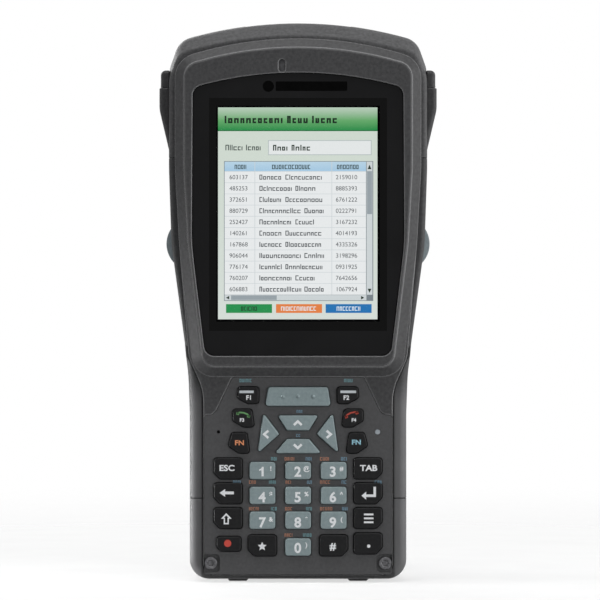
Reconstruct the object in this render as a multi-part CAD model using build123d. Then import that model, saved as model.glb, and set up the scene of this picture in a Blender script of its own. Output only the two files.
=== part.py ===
from build123d import *
import math
import os

# Hand-held bar code data terminal, standing on its feet.
# X runs to the right seen from the front, Y runs to the back and Z runs up.
# The origin is on the ground under the middle of the body. All sizes are in mm.
# Widths are worked out from the keys and the display outwards, heights from the feet
# upwards, and depths from the parting plane between the front and the rear casing.

# Gaps and fits
SEAM = 0.3                      # between shells that meet
SEAT = 0.1                      # between pieces that rest on each other
FILM = 0.02                     # between flat faces that are pressed together
PIN_FIT = 0.05                  # radial running fit of the hinge pin
SCREW_FIT = 0.05                # radial room round a screw's thread
SHANK_ROOM = 0.3                # radial room round a screw where it only passes
HEAD_ROOM = 0.3                 # radial room round a screw's head
EMBED = 0.5                     # how far one form runs into another that it is part of
CLEAR = 1.0                     # how far a cut runs past the face that it opens
BEYOND = 60.0                   # farther out than anything on the terminal

# Walls
WALL = 2.4
SHELF_T = 2.2                   # shelf that carries the front casing
HOLLOW_LOW = 3.0                # the head is hollow to this far below the glass
LEDGE_T = 1.2                   # ledge between the display glass and the display
BAY_WALL = 1.5

# Keys, across
DIGIT_W = 9.2
DIGIT_GAP = 3.5
COLUMN_GAP = 2.6                # between the digits and the dark keys beside them
SIDE_KEY_W = 10.1
SIDE_MARGIN = 3.5
SCAN_KEY_HALF = 11.7
SCAN_KEY_SLANT = 1.1
FAN_GAP = 2.3                   # between the scan key and the fan of keys beside it
FAN_KEY_W = 7.65
FAN_STEP = 1.6                  # each lower key of the fan lies this much farther out
FAN_MARGIN = 1.75
ARROW_GAP = 2.8
ARROW_LEAN = 2.0
ARROW_TIP = 6.7
UP_KEY_HALF = 7.2
DOWN_KEY_HALF = 8.3
ARROW_NARROW_HALF = 3.9
WIDER_KEY = 0.45                # keys of the lowest row are wider than digits, each side
POWER_KEY_W = 8.7
PLATE_FLARE = 5.8
PLATE_NOTCH = 1.6
PLATE_RIM = 0.3                 # front casing beside the keypad plate
GRIP_BAND_W = 5.0               # rear casing beside the front casing, at the grip

# Keys, upwards
BODY_FOOT = 1.0
PLATE_LIFT = 1.9
LOW_ROW_LIFT = 9.85
DIGIT_H = 6.2
LOW_ROW_PITCH = 9.55
ROW_PITCH = 8.85
SIDE_KEY_H = 7.5
SIDE_KEY_DROP = 3.0
POWER_KEY_H = 5.3
POWER_KEY_DROP = 1.55
STAR_KEY_DROP = 3.2
POINT_KEY_DROP = 2.5
FAN_LIFT = 3.1                  # above the top row of digits
FN_KEY_H = 7.4
HANDSET_KEY_H = 6.4
FUNCTION_KEY_H = 6.0
FAN_ROW_GAP = 1.95
SCAN_KEY_DROP = 0.8
SCAN_KEY_H = 6.7
SCAN_DOT_R = 0.6
SCAN_DOT_PITCH = 5.4
ARROW_MID = 6.9                 # middle of the four arrows, above the foot of the fan
ARROW_SIDE_TOP = 7.4
UP_KEY_LOW = 1.3
UP_KEY_TOP = 6.6
DOWN_KEY_TOP = 1.8
PLATE_TOP_MARGIN = 3.4
PLATE_FLARE_DROP = 12.2
PLATE_NOTCH_DROP = 13.5

# Key caps, plate and the layers behind them
PLATE_T = 1.6
PLATE_GAP = 0.15
PLATE_CORNER_R = 1.0
KEY_RISE = 1.2                  # how far a cap stands above the plate
KEY_GAP = 0.25
KEY_FLANGE = 0.45
KEY_FLANGE_T = 0.8
KEY_TRAVEL = 0.7
KEY_STOP = 0.15
KEY_EDGE_R = 0.4
KEY_CORNER_R = 1.1
ARROW_CORNER_R = 0.5
MAT_T = 0.8
KEYBOARD_T = 1.2
WELL_SIDE = 2.1                 # the well's sides lie this far inside the plate's
WELL_LIFT = 5.5
WELL_DROP = 1.7
WELL_EDGE = 1.0                 # ledge that the plate rests on
RAIL_W = 1.8                    # rail that the keypad board rests on
WELL_FIT = 0.3
SCREW_POCKET = 6.6
POCKET_CORNER_R = 1.6
POCKET_FLOOR_T = 0.5
PLATE_SCREW_IN = 2.3
PLATE_SCREW_LIFT = 4.0
PORT_DROP = 6.0                 # lamp and microphone hole, below the plate's notch
PORT_IN = 5.1
LED_R = 0.9
LED_FLANGE = 0.5
MIC_HOLE_R = 0.6

# Display, across and upwards
VIEW_HALF = 28.55
VIEW_H = 75.7
VIEW_MARGIN = 0.8
LCD_BORDER = 2.95
LCD_BORDER_LOW = 4.2
LCD_BORDER_HIGH = 4.6
CHASSIS_RIM = 0.9
MASK_SIDE = 4.45
MASK_LOW = 12.6
MASK_HIGH = 12.4
GLASS_R = 3.6
GLASS_BELLY = 0.35              # the glass widens by this much down to the waist
GLASS_ARC_R = 134.0
GASKET_IN = 0.1

# Display stack, in depth
GLASS_T = 1.1
GASKET_T = 0.6
GLASS_RECESS = 0.7
LCD_T = 2.8
CHASSIS_T = 1.0
CHASSIS_LEG_R = 2.0
CHASSIS_LEG_IN = 3.0
CHASSIS_LEG_H = 1.7
BOARD_T = 1.6
BOARD_FIT = 0.5
BOARD_LOW = 7.7                 # below the view
BOARD_HIGH = 7.6                # above the view
PROCESSOR_W = 16.0
PROCESSOR_T = 1.4
MEMORY_W = 12.0
MEMORY_H = 18.0
MEMORY_T = 1.2
RADIO_W = 24.0
RADIO_H = 14.0
RADIO_T = 2.4
CODEC_W = 9.0
CODEC_T = 1.0
CHIP_GAP = 5.0

# Head and body, seen from the front
NECK_SIDE = 6.0                 # front casing beside the foot of the glass
NECK_BAND_W = 0.3
HEAD_SCREW_GAP = 0.7            # from the display's chassis to the screw posts
HEAD_SCREW_SIDE = 7.5
RIM_W = 6.6                     # front casing beside the top of the glass
HEAD_BAND_W = 2.5
HEAD_TAPER = 0.9                # the head narrows by this much down to its waist
FRONT_TAPER = 1.5               # and the front casing by this much
SIDE_STRAIGHT_LIFT = 27.0       # the taper starts this far above the waist
HEAD_FOOT_LIFT = 0.3
RIM_LIFT = 3.8
GLASS_LIFT = 3.7
BROW_H = 12.5                   # front casing above the glass
CAP_BROW_H = 6.9                # top cap above the front casing
NECK_HIGH_LIFT = 6.6
NECK_LOW_DROP = 5.0
TONGUE_DROP = 0.3
GRIP_TOP_LIFT = 0.9
GRIP_TAPER_H = 14.5
WAIST_H = 46.5
TOP_ARC_R = 146.0
FRONT_ARC_R = 130.0
HEAD_CORNER_IN = 3.7            # the head's top corner stands in from its side
HEAD_CORNER_DROP = 16.7         # and the side slopes in from this far below the top
HEAD_CORNER_R = 7.5
HEAD_SIDE_R = 12.0
FRONT_CORNER_R = 9.0
RIM_CORNER_R = 8.0
RIM_FOOT_IN = 1.8
GRIP_CORNER_R = 7.0
TONGUE_CORNER_R = 4.0
NECK_R = 10.0
BLEND_R = 70.0
SHOULDER = 3.1                  # width of the sloping band round the rim
SHOULDER_GAP = 0.3
RIM_EDGE_R = 0.5

# Casings, in depth
PARTING_Y = -9.0
FRONT_DEPTH = 8.6
SHOULDER_RISE = 2.6
RIM_RISE = 0.8                  # foremost face, round the display
BAND_STEP = 2.1
BAND_RAMP_LOW = 5.4
BAND_RAMP_HIGH = 10.4
GRIP_BACK_Y = 13.0
HUMP = 8.0                      # the head's back stands this far behind the grip's
BACK_BEND_LIFT = 0.5
BACK_BEND_H = 17.5
BEND_LOW_R = 24.0
BEND_HIGH_R = 18.0
LEAN_DROP = 29.0
LEAN_R = 40.0
TOP_BACK_LEAN = 5.0
TOP_FRONT_IN = 6.0
TOP_FRONT_DROP = 5.0
TOP_FRONT_R = 8.0
HEAD_EDGE_R = 1.6
BACK_EDGE_R = 6.0
BAND_EDGE_R = 2.6
BASE_SEAM_Z = 30.0

# Screws
SCREW_R = 1.25
PLATE_HEAD_R = 2.4
PLATE_HEAD_T = 0.9
PLATE_SOCKET_DEPTH = 0.6
CASE_HEAD_R = 2.6
CASE_HEAD_T = 2.0
CASE_HEAD_SINK = 7.0
CASE_SOCKET_DEPTH = 0.8
SOCKET_R = 1.05
BOSS_R = 4.4
POST_R = 3.4
POST_GAP = 0.4
BOSS_MEET = 9.0                 # front end of a boss, behind the parting plane
LOW_SCREW_LIFT = 6.0
HIGH_SCREW_LIFT = 18.0

# Battery bay and lid
BAY_SIDE = 9.8                  # from the bay to the grip's side
BAY_LIFT = 11.5
BAY_H = 87.5
BAY_DEPTH = 10.4
BAY_RIM_SINK = 4.1
BATTERY_GAP = 0.3
BATTERY_EDGE_R = 2.0
CONTACT_HALF = 7.0
CONTACT_H = 3.4
CONTACT_T = 5.0
CONTACT_IN = 2.0
LID_SIDE = 1.0                  # the lid reaches past the bay on each side
LID_LIFT = 5.0
LID_T = 2.2
LID_CORNER_R = 5.0
HINGE_LIFT = 6.5
BARREL_R = 3.4
PIN_R = 1.0
PIN_REACH = 2.0
HOUSING_REACH = 3.0
HOUSING_HALF_H = 5.5
KNUCKLE_HALF = 5.0
KNUCKLE_LESS = 0.2
LID_RIB_H = 0.5
LID_RIB_W = 1.6
LID_RIB_IN = 8.0
LID_RIB_PITCH = 7.0
LID_RIB_COUNT = 7
LID_RIB_LIFT = 32.0

# Lid latches
LATCH_IN = 12.0
LATCH_LIFT = 6.0
LATCH_TRAVEL = 4.0
LATCH_PAD_W = 10.0
LATCH_PAD_H = 9.0
LATCH_PAD_RISE = 1.4
LATCH_PAD_R = 1.5
LATCH_PAD_EDGE = 0.4
LATCH_STEM_W = 6.0
LATCH_STEM_H = 4.0
LATCH_STEM_LIFT = 1.0
LATCH_GAP = 0.25
LATCH_BOLT_T = 1.2
LATCH_BOLT_REACH = 4.4
LATCH_BOLT_H = 11.4
KEEPER_T = 2.8

# Scan buttons in the sides
BUTTON_DROP = 0.5
BUTTON_HALF_Z = 7.8
BUTTON_HALF_Y = 4.4
BUTTON_SINK_HIGH = 1.2
BUTTON_SINK_LOW = 2.8
BUTTON_CROWN = 1.8
BUTTON_CROWN_DROP = 0.4
BUTTON_FLANGE = 0.8
BUTTON_FLANGE_T = 1.0
BUTTON_GAP = 0.3
BUTTON_TRAVEL = 0.9
BUTTON_SHELF_GAP = 0.4
SWITCH_W = 3.4
SWITCH_HALF_Y = 4.0
SWITCH_HALF_Z = 3.0

# Scan window and engine in the top cap, and the speaker
WINDOW_HALF_X = 19.0
WINDOW_FRONT_IN = 1.0
WINDOW_BACK_IN = 9.0
WINDOW_T = 1.5
WINDOW_SINK = 3.8
WINDOW_RIM = 2.0
WINDOW_SEAT_T = 1.8
ENGINE_HALF_X = 14.0
ENGINE_IN = 1.0
ENGINE_H = 16.0
SPEAKER_R = 6.5
SPEAKER_T = 3.0
SLOT_X = -5.7
SLOT_LIFT = 2.6
SLOT_W = 2.4
SLOT_H = 4.6

# Side bumpers
BUMPER_OUT = 3.5                # how far they stand out from the head
BUMPER_ROOT = 3.0
BUMPER_FRONT_IN = 2.2
BUMPER_BACK_IN = 9.0
BUMPER_TOP_DROP = 17.5
BUMPER_BROW_IN = 0.5            # the part above the groove stands out by this much less
BUMPER_BROW_H = 6.2
BUMPER_SIDE_H = 8.0
BUMPER_GROOVE_W = 0.5
BUMPER_GROOVE_DEPTH = 0.35
BUMPER_FOOT_IN = 0.3
BUMPER_FOOT_LIFT = 1.4
BUMPER_CORNER_R = 1.8
BUMPER_SIDE_R = 12.0
BUMPER_EDGE_R = 1.5

# Underside
FOOT_MID = 21.55
FOOT_HALF = 3.95
FOOT_SLANT = 0.9
FOOT_FRONT_Y = -10.0
FOOT_BACK_IN = 4.0
DOCK_HALF_X = 13.0
DOCK_HALF_Y = 4.5
DOCK_DEPTH = 6.0
DOCK_ROOF_T = 2.2
DOCK_WALL = 1.4

# Holes for a pistol grip on the upper back
GRIP_HOLE_R = 1.25
GRIP_HOLE_X = 40.0
GRIP_HOLE_Z = 12.0
GRIP_HOLE_LIFT = 10.0
GRIP_HOLE_DEPTH = 7.0
GRIP_BOSS_R = 3.6
GRIP_BOSS_END = 1.5
CAP_SEAM_LIFT = 12.0

# Widths that follow
SIDE_KEY_IN = 1.5 * DIGIT_W + DIGIT_GAP + COLUMN_GAP
SIDE_KEY_OUT = SIDE_KEY_IN + SIDE_KEY_W
PLATE_HALF = SIDE_KEY_OUT + SIDE_MARGIN
FAN_IN = SCAN_KEY_HALF + FAN_GAP
PLATE_TOP_HALF = FAN_IN + FAN_KEY_W + FAN_MARGIN
TONGUE_HALF = PLATE_HALF + PLATE_RIM
GRIP_HALF = TONGUE_HALF + GRIP_BAND_W
LCD_HALF = VIEW_HALF + LCD_BORDER
CHASSIS_HALF = LCD_HALF + CHASSIS_RIM
CASE_SCREW_X = CHASSIS_HALF + HEAD_SCREW_GAP + POST_R
FRONT_HALF = CASE_SCREW_X + HEAD_SCREW_SIDE
FRONT_WAIST_HALF = FRONT_HALF - FRONT_TAPER
HEAD_HALF = FRONT_HALF + HEAD_BAND_W
WAIST_HALF = HEAD_HALF - HEAD_TAPER
GLASS_HALF_TOP = FRONT_HALF - RIM_W
GLASS_HALF_FOOT = VIEW_HALF + MASK_SIDE
FRONT_NECK_HALF = GLASS_HALF_FOOT + NECK_SIDE
GRIP_TOP_HALF = FRONT_NECK_HALF + NECK_BAND_W
PLATE_SCREW_X = PLATE_HALF - PLATE_SCREW_IN
BAY_HALF = GRIP_HALF - BAY_SIDE
LID_HALF = BAY_HALF + LID_SIDE
PIN_HALF = LID_HALF + PIN_REACH
LATCH_X = LID_HALF - LATCH_IN
BUTTON_INNER_X = FRONT_WAIST_HALF - WALL
BUMPER_HALF = HEAD_HALF + BUMPER_OUT

# Heights that follow
PLATE_FOOT = BODY_FOOT + PLATE_LIFT
LOW_ROW_Z = PLATE_FOOT + LOW_ROW_LIFT
DIGIT_ROWS = [LOW_ROW_Z + LOW_ROW_PITCH + step * ROW_PITCH for step in (2, 1, 0)]
FAN_FOOT = DIGIT_ROWS[0] + DIGIT_H / 2 + FAN_LIFT
HANDSET_FOOT = FAN_FOOT + FN_KEY_H + FAN_ROW_GAP
FUNCTION_FOOT = HANDSET_FOOT + HANDSET_KEY_H + FAN_ROW_GAP
ARROW_Z = FAN_FOOT + ARROW_MID
SCAN_KEY_FOOT = FUNCTION_FOOT - SCAN_KEY_DROP
PLATE_TOP = FUNCTION_FOOT + FUNCTION_KEY_H + PLATE_TOP_MARGIN
PLATE_SCREW_Z = PLATE_FOOT + PLATE_SCREW_LIFT
PORT_Z = PLATE_TOP - PLATE_NOTCH_DROP - PORT_DROP
TONGUE_FOOT = PLATE_FOOT - TONGUE_DROP
HEAD_FOOT = PLATE_TOP + HEAD_FOOT_LIFT
RIM_FOOT = HEAD_FOOT + RIM_LIFT
GLASS_FOOT = RIM_FOOT + GLASS_LIFT
VIEW_FOOT = GLASS_FOOT + MASK_LOW
VIEW_TOP = VIEW_FOOT + VIEW_H
GLASS_TOP = VIEW_TOP + MASK_HIGH
FRONT_TOP = GLASS_TOP + BROW_H
BODY_TOP = FRONT_TOP + CAP_BROW_H
LCD_FOOT = VIEW_FOOT - LCD_BORDER_LOW
LCD_TOP = VIEW_TOP + LCD_BORDER_HIGH
BOARD_FOOT = VIEW_FOOT - BOARD_LOW
BOARD_TOP = VIEW_TOP + BOARD_HIGH
SLOT_Z = GLASS_TOP + SLOT_LIFT
NECK_HIGH_Z = HEAD_FOOT + NECK_HIGH_LIFT
NECK_LOW_Z = HEAD_FOOT - NECK_LOW_DROP
GRIP_TOP_Z = HEAD_FOOT + GRIP_TOP_LIFT
GRIP_STRAIGHT_Z = GRIP_TOP_Z - GRIP_TAPER_H
WAIST_Z = GRIP_TOP_Z + WAIST_H
SIDE_STRAIGHT_Z = WAIST_Z + SIDE_STRAIGHT_LIFT
BUTTON_Z = WAIST_Z - BUTTON_DROP
BAY_FOOT = BODY_FOOT + BAY_LIFT
BAY_TOP = BAY_FOOT + BAY_H
LID_FOOT = BODY_FOOT + LID_LIFT
HINGE_Z = BAY_TOP + HINGE_LIFT
HOUSING_FOOT = HINGE_Z - HOUSING_HALF_H
HOUSING_TOP = HINGE_Z + HOUSING_HALF_H
BACK_BEND_LOW_Z = HOUSING_TOP + BACK_BEND_LIFT
BACK_BEND_HIGH_Z = BACK_BEND_LOW_Z + BACK_BEND_H
LOW_SCREW_Z = BACK_BEND_HIGH_Z + LOW_SCREW_LIFT
GRIP_HOLE_MID_Z = BACK_BEND_HIGH_Z + GRIP_HOLE_LIFT
CAP_SEAM_Z = GRIP_HOLE_MID_Z + CAP_SEAM_LIFT
HIGH_SCREW_Z = CAP_SEAM_Z + HIGH_SCREW_LIFT
WINDOW_SEAT_Z = BODY_TOP - WINDOW_SINK
BUMPER_TOP = BODY_TOP - BUMPER_TOP_DROP
BUMPER_GROOVE_Z = BUMPER_TOP - BUMPER_BROW_H
BUMPER_FOOT = CAP_SEAM_Z + BUMPER_FOOT_LIFT
LATCH_FOOT = LID_FOOT + LATCH_LIFT

# Depths that follow
FACE_Y = PARTING_Y - FRONT_DEPTH
RIM_BACK_Y = FACE_Y - SHOULDER_RISE
RIM_Y = RIM_BACK_Y - RIM_RISE
BAND_FRONT_Y = FACE_Y + BAND_STEP
GLASS_Y = RIM_Y + GLASS_RECESS
GASKET_Y = GLASS_Y + GLASS_T
LEDGE_FRONT_Y = GASKET_Y + GASKET_T
LEDGE_BACK_Y = LEDGE_FRONT_Y + LEDGE_T
LCD_Y = LEDGE_BACK_Y + SEAT
CHASSIS_Y = LCD_Y + LCD_T + SEAT
BOARD_Y = CHASSIS_Y + CHASSIS_T + CHASSIS_LEG_H + SEAT
PLATE_BACK_Y = FACE_Y + PLATE_T
FLANGE_Y = PLATE_BACK_Y + SEAT
MAT_Y = FLANGE_Y + KEY_FLANGE_T + KEY_TRAVEL + KEY_STOP
KEYBOARD_Y = MAT_Y + MAT_T + FILM
WELL_BACK_Y = KEYBOARD_Y + KEYBOARD_T + WELL_FIT
HEAD_BACK_Y = GRIP_BACK_Y + HUMP
TOP_FRONT_Y = PARTING_Y + TOP_FRONT_IN
BOSS_FRONT_Y = PARTING_Y + BOSS_MEET
CASE_HEAD_Y = HEAD_BACK_Y - CASE_HEAD_SINK
BAY_RIM_Y = GRIP_BACK_Y - BAY_RIM_SINK
BAY_FLOOR_Y = BAY_RIM_Y - BAY_DEPTH
POST_BACK_Y = BAY_FLOOR_Y - BAY_WALL - POST_GAP
HINGE_Y = GRIP_BACK_Y - BARREL_R
HOUSING_FRONT_Y = HINGE_Y - BARREL_R - SEAM - BAY_WALL
WINDOW_FRONT_Y = TOP_FRONT_Y + WINDOW_FRONT_IN
WINDOW_BACK_Y = HEAD_BACK_Y - WINDOW_BACK_IN
BUTTON_Y = PARTING_Y + SHELF_T + BUTTON_SHELF_GAP + BUTTON_FLANGE + BUTTON_HALF_Y

nodes = {}


# Shapes that many pieces use

def prism(face, front_y, back_y):
    """A face drawn in X and Z, filled between two depths."""
    return extrude(Plane.XZ.offset(-back_y) * face, amount=back_y - front_y)


def block(x_range, y_range, z_range):
    """A box between two sorted or unsorted bounds on each axis."""
    low = [min(pair) for pair in (x_range, y_range, z_range)]
    high = [max(pair) for pair in (x_range, y_range, z_range)]
    size = Box(*[b - a for a, b in zip(low, high)])
    return Pos(*[(a + b) / 2 for a, b in zip(low, high)]) * size


def rod_y(x, z, radius, front_y, back_y):
    rod = Cylinder(radius, back_y - front_y, rotation=(90, 0, 0))
    return Pos(x, (front_y + back_y) / 2, z) * rod


def rod_x(y, z, radius, half_length):
    return Pos(0, y, z) * Cylinder(radius, 2 * half_length, rotation=(0, 90, 0))


def across(half):
    """The bounds of something as wide on the left as on the right."""
    return (-half, half)


def about(middle, half):
    return (middle - half, middle + half)


def rounded(points, radius):
    """A closed outline with every corner rounded."""
    face = make_face(Polyline(*points, close=True))
    return fillet(face.vertices(), radius)


def arc_drop(radius, half):
    """How far an arc falls from its crown at a distance from the middle."""
    return radius - math.sqrt(radius ** 2 - half ** 2)


def mirrored(points):
    """The right-hand points of an outline, from the top down, with their mirror image."""
    return list(points) + [(-x, z) for x, z in reversed(points)]


def corners_at(face, x, y, both_sides=False):
    """The corners of a flat outline that lie at a point, or also at its mirror image."""
    near = 1e-4
    found = []
    for corner in face.vertices():
        corner_x = abs(corner.X) if both_sides else corner.X
        if abs(corner_x - x) < near and abs(corner.Y - y) < near:
            found.append(corner)
    return found


def edges_at(form, y, above_z):
    """The edges of a form that lie at a depth, above a height."""
    found = []
    for edge in form.edges():
        middle = edge.center()
        if abs(middle.Y - y) < FILM and middle.Z > above_z:
            found.append(edge)
    return found


def crowned(points, top, corner_radii):
    """An outline under an arc: right-hand points from the arc's end down, each with a radius."""
    x, z = points[0]
    crown = ThreePointArc((-x, z), (0, top), (x, z))
    rest = Polyline(*mirrored(points))
    face = make_face(Curve() + [crown, rest])
    for (corner_x, corner_z), radius in zip(points, corner_radii):
        face = fillet(corners_at(face, corner_x, corner_z, both_sides=True), radius)
    return face


# Outlines seen from the front. An inset outline lies inside the plain one

def body_outline(inset=0.0, drop=0.0):
    """The whole body. Its top edge can be set lower, for the front of the head."""
    top = BODY_TOP - inset - drop
    half = HEAD_HALF - inset
    corner_half = half - HEAD_CORNER_IN
    points = [
        (corner_half, top - arc_drop(TOP_ARC_R, corner_half)),
        (half, top - HEAD_CORNER_DROP),
        (half, SIDE_STRAIGHT_Z),
        (WAIST_HALF - inset, WAIST_Z),
        (GRIP_TOP_HALF - inset, GRIP_TOP_Z),
        (GRIP_HALF - inset, GRIP_STRAIGHT_Z),
        (GRIP_HALF - inset, BODY_FOOT + inset),
    ]
    radii = [HEAD_CORNER_R - inset, HEAD_SIDE_R - inset] + 4 * [BLEND_R] + [GRIP_CORNER_R - inset]
    return crowned(points, top, radii)


def front_outline(inset=0.0):
    """The front casing with its tongue under the keypad."""
    top = FRONT_TOP - inset
    half = FRONT_HALF - inset
    points = [
        (half, top - arc_drop(FRONT_ARC_R, half)),
        (half, SIDE_STRAIGHT_Z),
        (FRONT_WAIST_HALF - inset, WAIST_Z),
        (FRONT_NECK_HALF - inset, NECK_HIGH_Z),
        (TONGUE_HALF - inset, NECK_LOW_Z),
        (TONGUE_HALF - inset, TONGUE_FOOT + inset),
    ]
    radii = [FRONT_CORNER_R - inset, BLEND_R, BLEND_R, NECK_R, 2 * NECK_R, TONGUE_CORNER_R - inset]
    return crowned(points, top, radii)


def head_outline(inset, foot_z):
    """The raised part of the front casing, round the display."""
    top = FRONT_TOP - inset
    half = FRONT_HALF - inset
    points = [
        (half, top - arc_drop(FRONT_ARC_R, half)),
        (half, SIDE_STRAIGHT_Z),
        (FRONT_WAIST_HALF - inset, WAIST_Z),
        (FRONT_NECK_HALF - RIM_FOOT_IN - inset, foot_z),
    ]
    return crowned(points, top, [FRONT_CORNER_R - inset, BLEND_R, BLEND_R, RIM_CORNER_R - inset])


def glass_outline(inset=0.0):
    top = GLASS_TOP - inset
    half = GLASS_HALF_TOP - inset
    points = [
        (half, top - arc_drop(GLASS_ARC_R, half)),
        (half + GLASS_BELLY, WAIST_Z),
        (GLASS_HALF_FOOT - inset, GLASS_FOOT + inset),
    ]
    return crowned(points, top, [GLASS_R - inset, BLEND_R, GLASS_R - inset])


def plate_outline(inset=0.0):
    shoulder_half = PLATE_TOP_HALF + PLATE_FLARE - inset
    wing_z = PLATE_TOP - PLATE_NOTCH_DROP - inset
    points = mirrored([
        (PLATE_TOP_HALF - inset, PLATE_TOP - inset),
        (shoulder_half, PLATE_TOP - PLATE_FLARE_DROP - inset),
        (shoulder_half + PLATE_NOTCH, wing_z),
        (PLATE_HALF - inset, wing_z),
        (PLATE_HALF - inset, PLATE_FOOT + inset),
    ])
    return rounded(points, PLATE_CORNER_R)


def lid_plan(gap):
    """The lid seen from the back, with rounded lower corners."""
    half = LID_HALF - gap
    foot = LID_FOOT + gap
    points = [(half, HINGE_Z), (half, foot), (-half, foot), (-half, HINGE_Z)]
    face = make_face(Polyline(*points, close=True))
    return fillet(corners_at(face, half, foot, both_sides=True), LID_CORNER_R - gap)


def view_window(front_y, back_y):
    """The opening in front of the display's visible area."""
    z_range = (VIEW_FOOT - VIEW_MARGIN, VIEW_TOP + VIEW_MARGIN)
    return block(across(VIEW_HALF + VIEW_MARGIN), (front_y, back_y), z_range)


# Closed rear form, and the hollow inside it

def side_profile(inset=0.0):
    """The rear shell from the side, drawn with Y across and Z up."""
    bend_low = (GRIP_BACK_Y - inset, BACK_BEND_LOW_Z)
    bend_high = (HEAD_BACK_Y - inset, BACK_BEND_HIGH_Z)
    lean = (HEAD_BACK_Y - inset, BODY_TOP - LEAN_DROP)
    points = [
        (BAND_FRONT_Y + inset, BODY_FOOT + inset),
        (GRIP_BACK_Y - inset, BODY_FOOT + inset),
        bend_low,
        bend_high,
        lean,
        (HEAD_BACK_Y - TOP_BACK_LEAN - inset, BODY_TOP - inset),
        (PARTING_Y + inset, BODY_TOP - inset),
        (PARTING_Y + inset, HEAD_FOOT + BAND_RAMP_HIGH),
        (BAND_FRONT_Y + inset, HEAD_FOOT + BAND_RAMP_LOW),
    ]
    face = make_face(Polyline(*points, close=True))
    for (y, z), radius in [(bend_low, BEND_LOW_R), (bend_high, BEND_HIGH_R), (lean, LEAN_R)]:
        face = fillet(corners_at(face, y, z), radius)
    return face


def front_view_form(inset):
    """The body's outline through its whole depth, with a brow that slopes back along the top arc."""
    brow_y = (PARTING_Y + inset, TOP_FRONT_Y + inset)
    low = body_outline(inset, TOP_FRONT_DROP)
    full = body_outline(inset)
    brow = loft([Plane.XZ.offset(-brow_y[0]) * low, Plane.XZ.offset(-brow_y[1]) * full], ruled=True)
    before = prism(low, BAND_FRONT_Y - CLEAR, brow_y[0])
    return before + brow + prism(full, brow_y[1], HEAD_BACK_Y + CLEAR)


def shell_form(inset=0.0):
    reach = HEAD_HALF + CLEAR
    side_view = extrude(Plane.YZ.offset(-reach) * side_profile(inset), amount=2 * reach)
    form = front_view_form(inset) & side_view
    back_edges = []
    for edge in form.edges():
        middle = edge.center()
        runs_across = abs(edge.tangent_at(0.5).X) > 0.99
        between_ends = BODY_FOOT + inset + CLEAR < middle.Z < BODY_TOP - inset - CLEAR
        if middle.Y > GRIP_BACK_Y - inset - CLEAR and not (runs_across and between_ends):
            back_edges.append(edge)
    form = fillet(back_edges, BACK_EDGE_R - inset)
    if inset > 0:
        return form
    band_edges = []
    for edge in form.edges():
        middle = edge.center()
        in_front = middle.Y < BAND_FRONT_Y + FILM
        if in_front and middle.Z < HEAD_FOOT + BAND_RAMP_LOW - CLEAR:
            band_edges.append(edge)
    form = fillet(band_edges, BAND_EDGE_R)
    form = fillet(edges_at(form, PARTING_Y, HEAD_FOOT + BAND_RAMP_HIGH + CLEAR), HEAD_EDGE_R)
    crest_foot = BODY_TOP - arc_drop(TOP_ARC_R, HEAD_HALF) - HEAD_CORNER_R / 2
    return fillet(edges_at(form, TOP_FRONT_Y, crest_foot), TOP_FRONT_R)


outer_form = shell_form()
inner_form = shell_form(WALL)

# Rear shell with the seat of the front casing, before it is cut into three

shelf = prism(body_outline(SEAM), PARTING_Y, PARTING_Y + SHELF_T)
shelf -= prism(front_outline(WALL), PARTING_Y - CLEAR, PARTING_Y + SHELF_T + CLEAR)
shell = (outer_form - inner_form) + (shelf & outer_form)
shell -= prism(front_outline(-SEAM), RIM_Y - CLEAR, PARTING_Y + SEAT)
shell -= prism(front_outline(WALL), PARTING_Y - CLEAR, PARTING_Y + WALL + SEAT)

housing = block(
    across(LID_HALF + HOUSING_REACH), (HOUSING_FRONT_Y, HEAD_BACK_Y), (HOUSING_FOOT, HOUSING_TOP)
)
shell += housing & outer_form
barrel_room = rod_x(HINGE_Y, HINGE_Z, BARREL_R + SEAM, LID_HALF)
shell -= prism(lid_plan(0.0), HINGE_Y + CLEAR, HEAD_BACK_Y)
shell -= barrel_room
# the lid lies across this gap when it stands open
shell -= block(across(LID_HALF), (HINGE_Y, HEAD_BACK_Y), (HINGE_Z, HINGE_Z + BARREL_R + SEAM))

everywhere = across(BEYOND)
rear_zone = block(everywhere, everywhere, (BASE_SEAM_Z + SEAM / 2, CAP_SEAM_Z - SEAM / 2))
cap_zone = block(everywhere, everywhere, (CAP_SEAM_Z + SEAM / 2, BODY_TOP + CLEAR))
base_zone = block(everywhere, everywhere, (0, BASE_SEAM_Z - SEAM / 2))


def screw_boss(x, z):
    """A boss for a screw that comes in from the back."""
    return rod_y(x, z, BOSS_R, BOSS_FRONT_Y, HEAD_BACK_Y - WALL / 2)


def screw_bore(x, z):
    head_way = rod_y(x, z, CASE_HEAD_R + HEAD_ROOM, CASE_HEAD_Y - CASE_HEAD_T, HEAD_BACK_Y + CLEAR)
    return head_way + rod_y(x, z, SCREW_R + SHANK_ROOM, BOSS_FRONT_Y - CLEAR, CASE_HEAD_Y)


# Rear casing: battery tray, hinge knuckle, side button openings and grip holes

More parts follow.
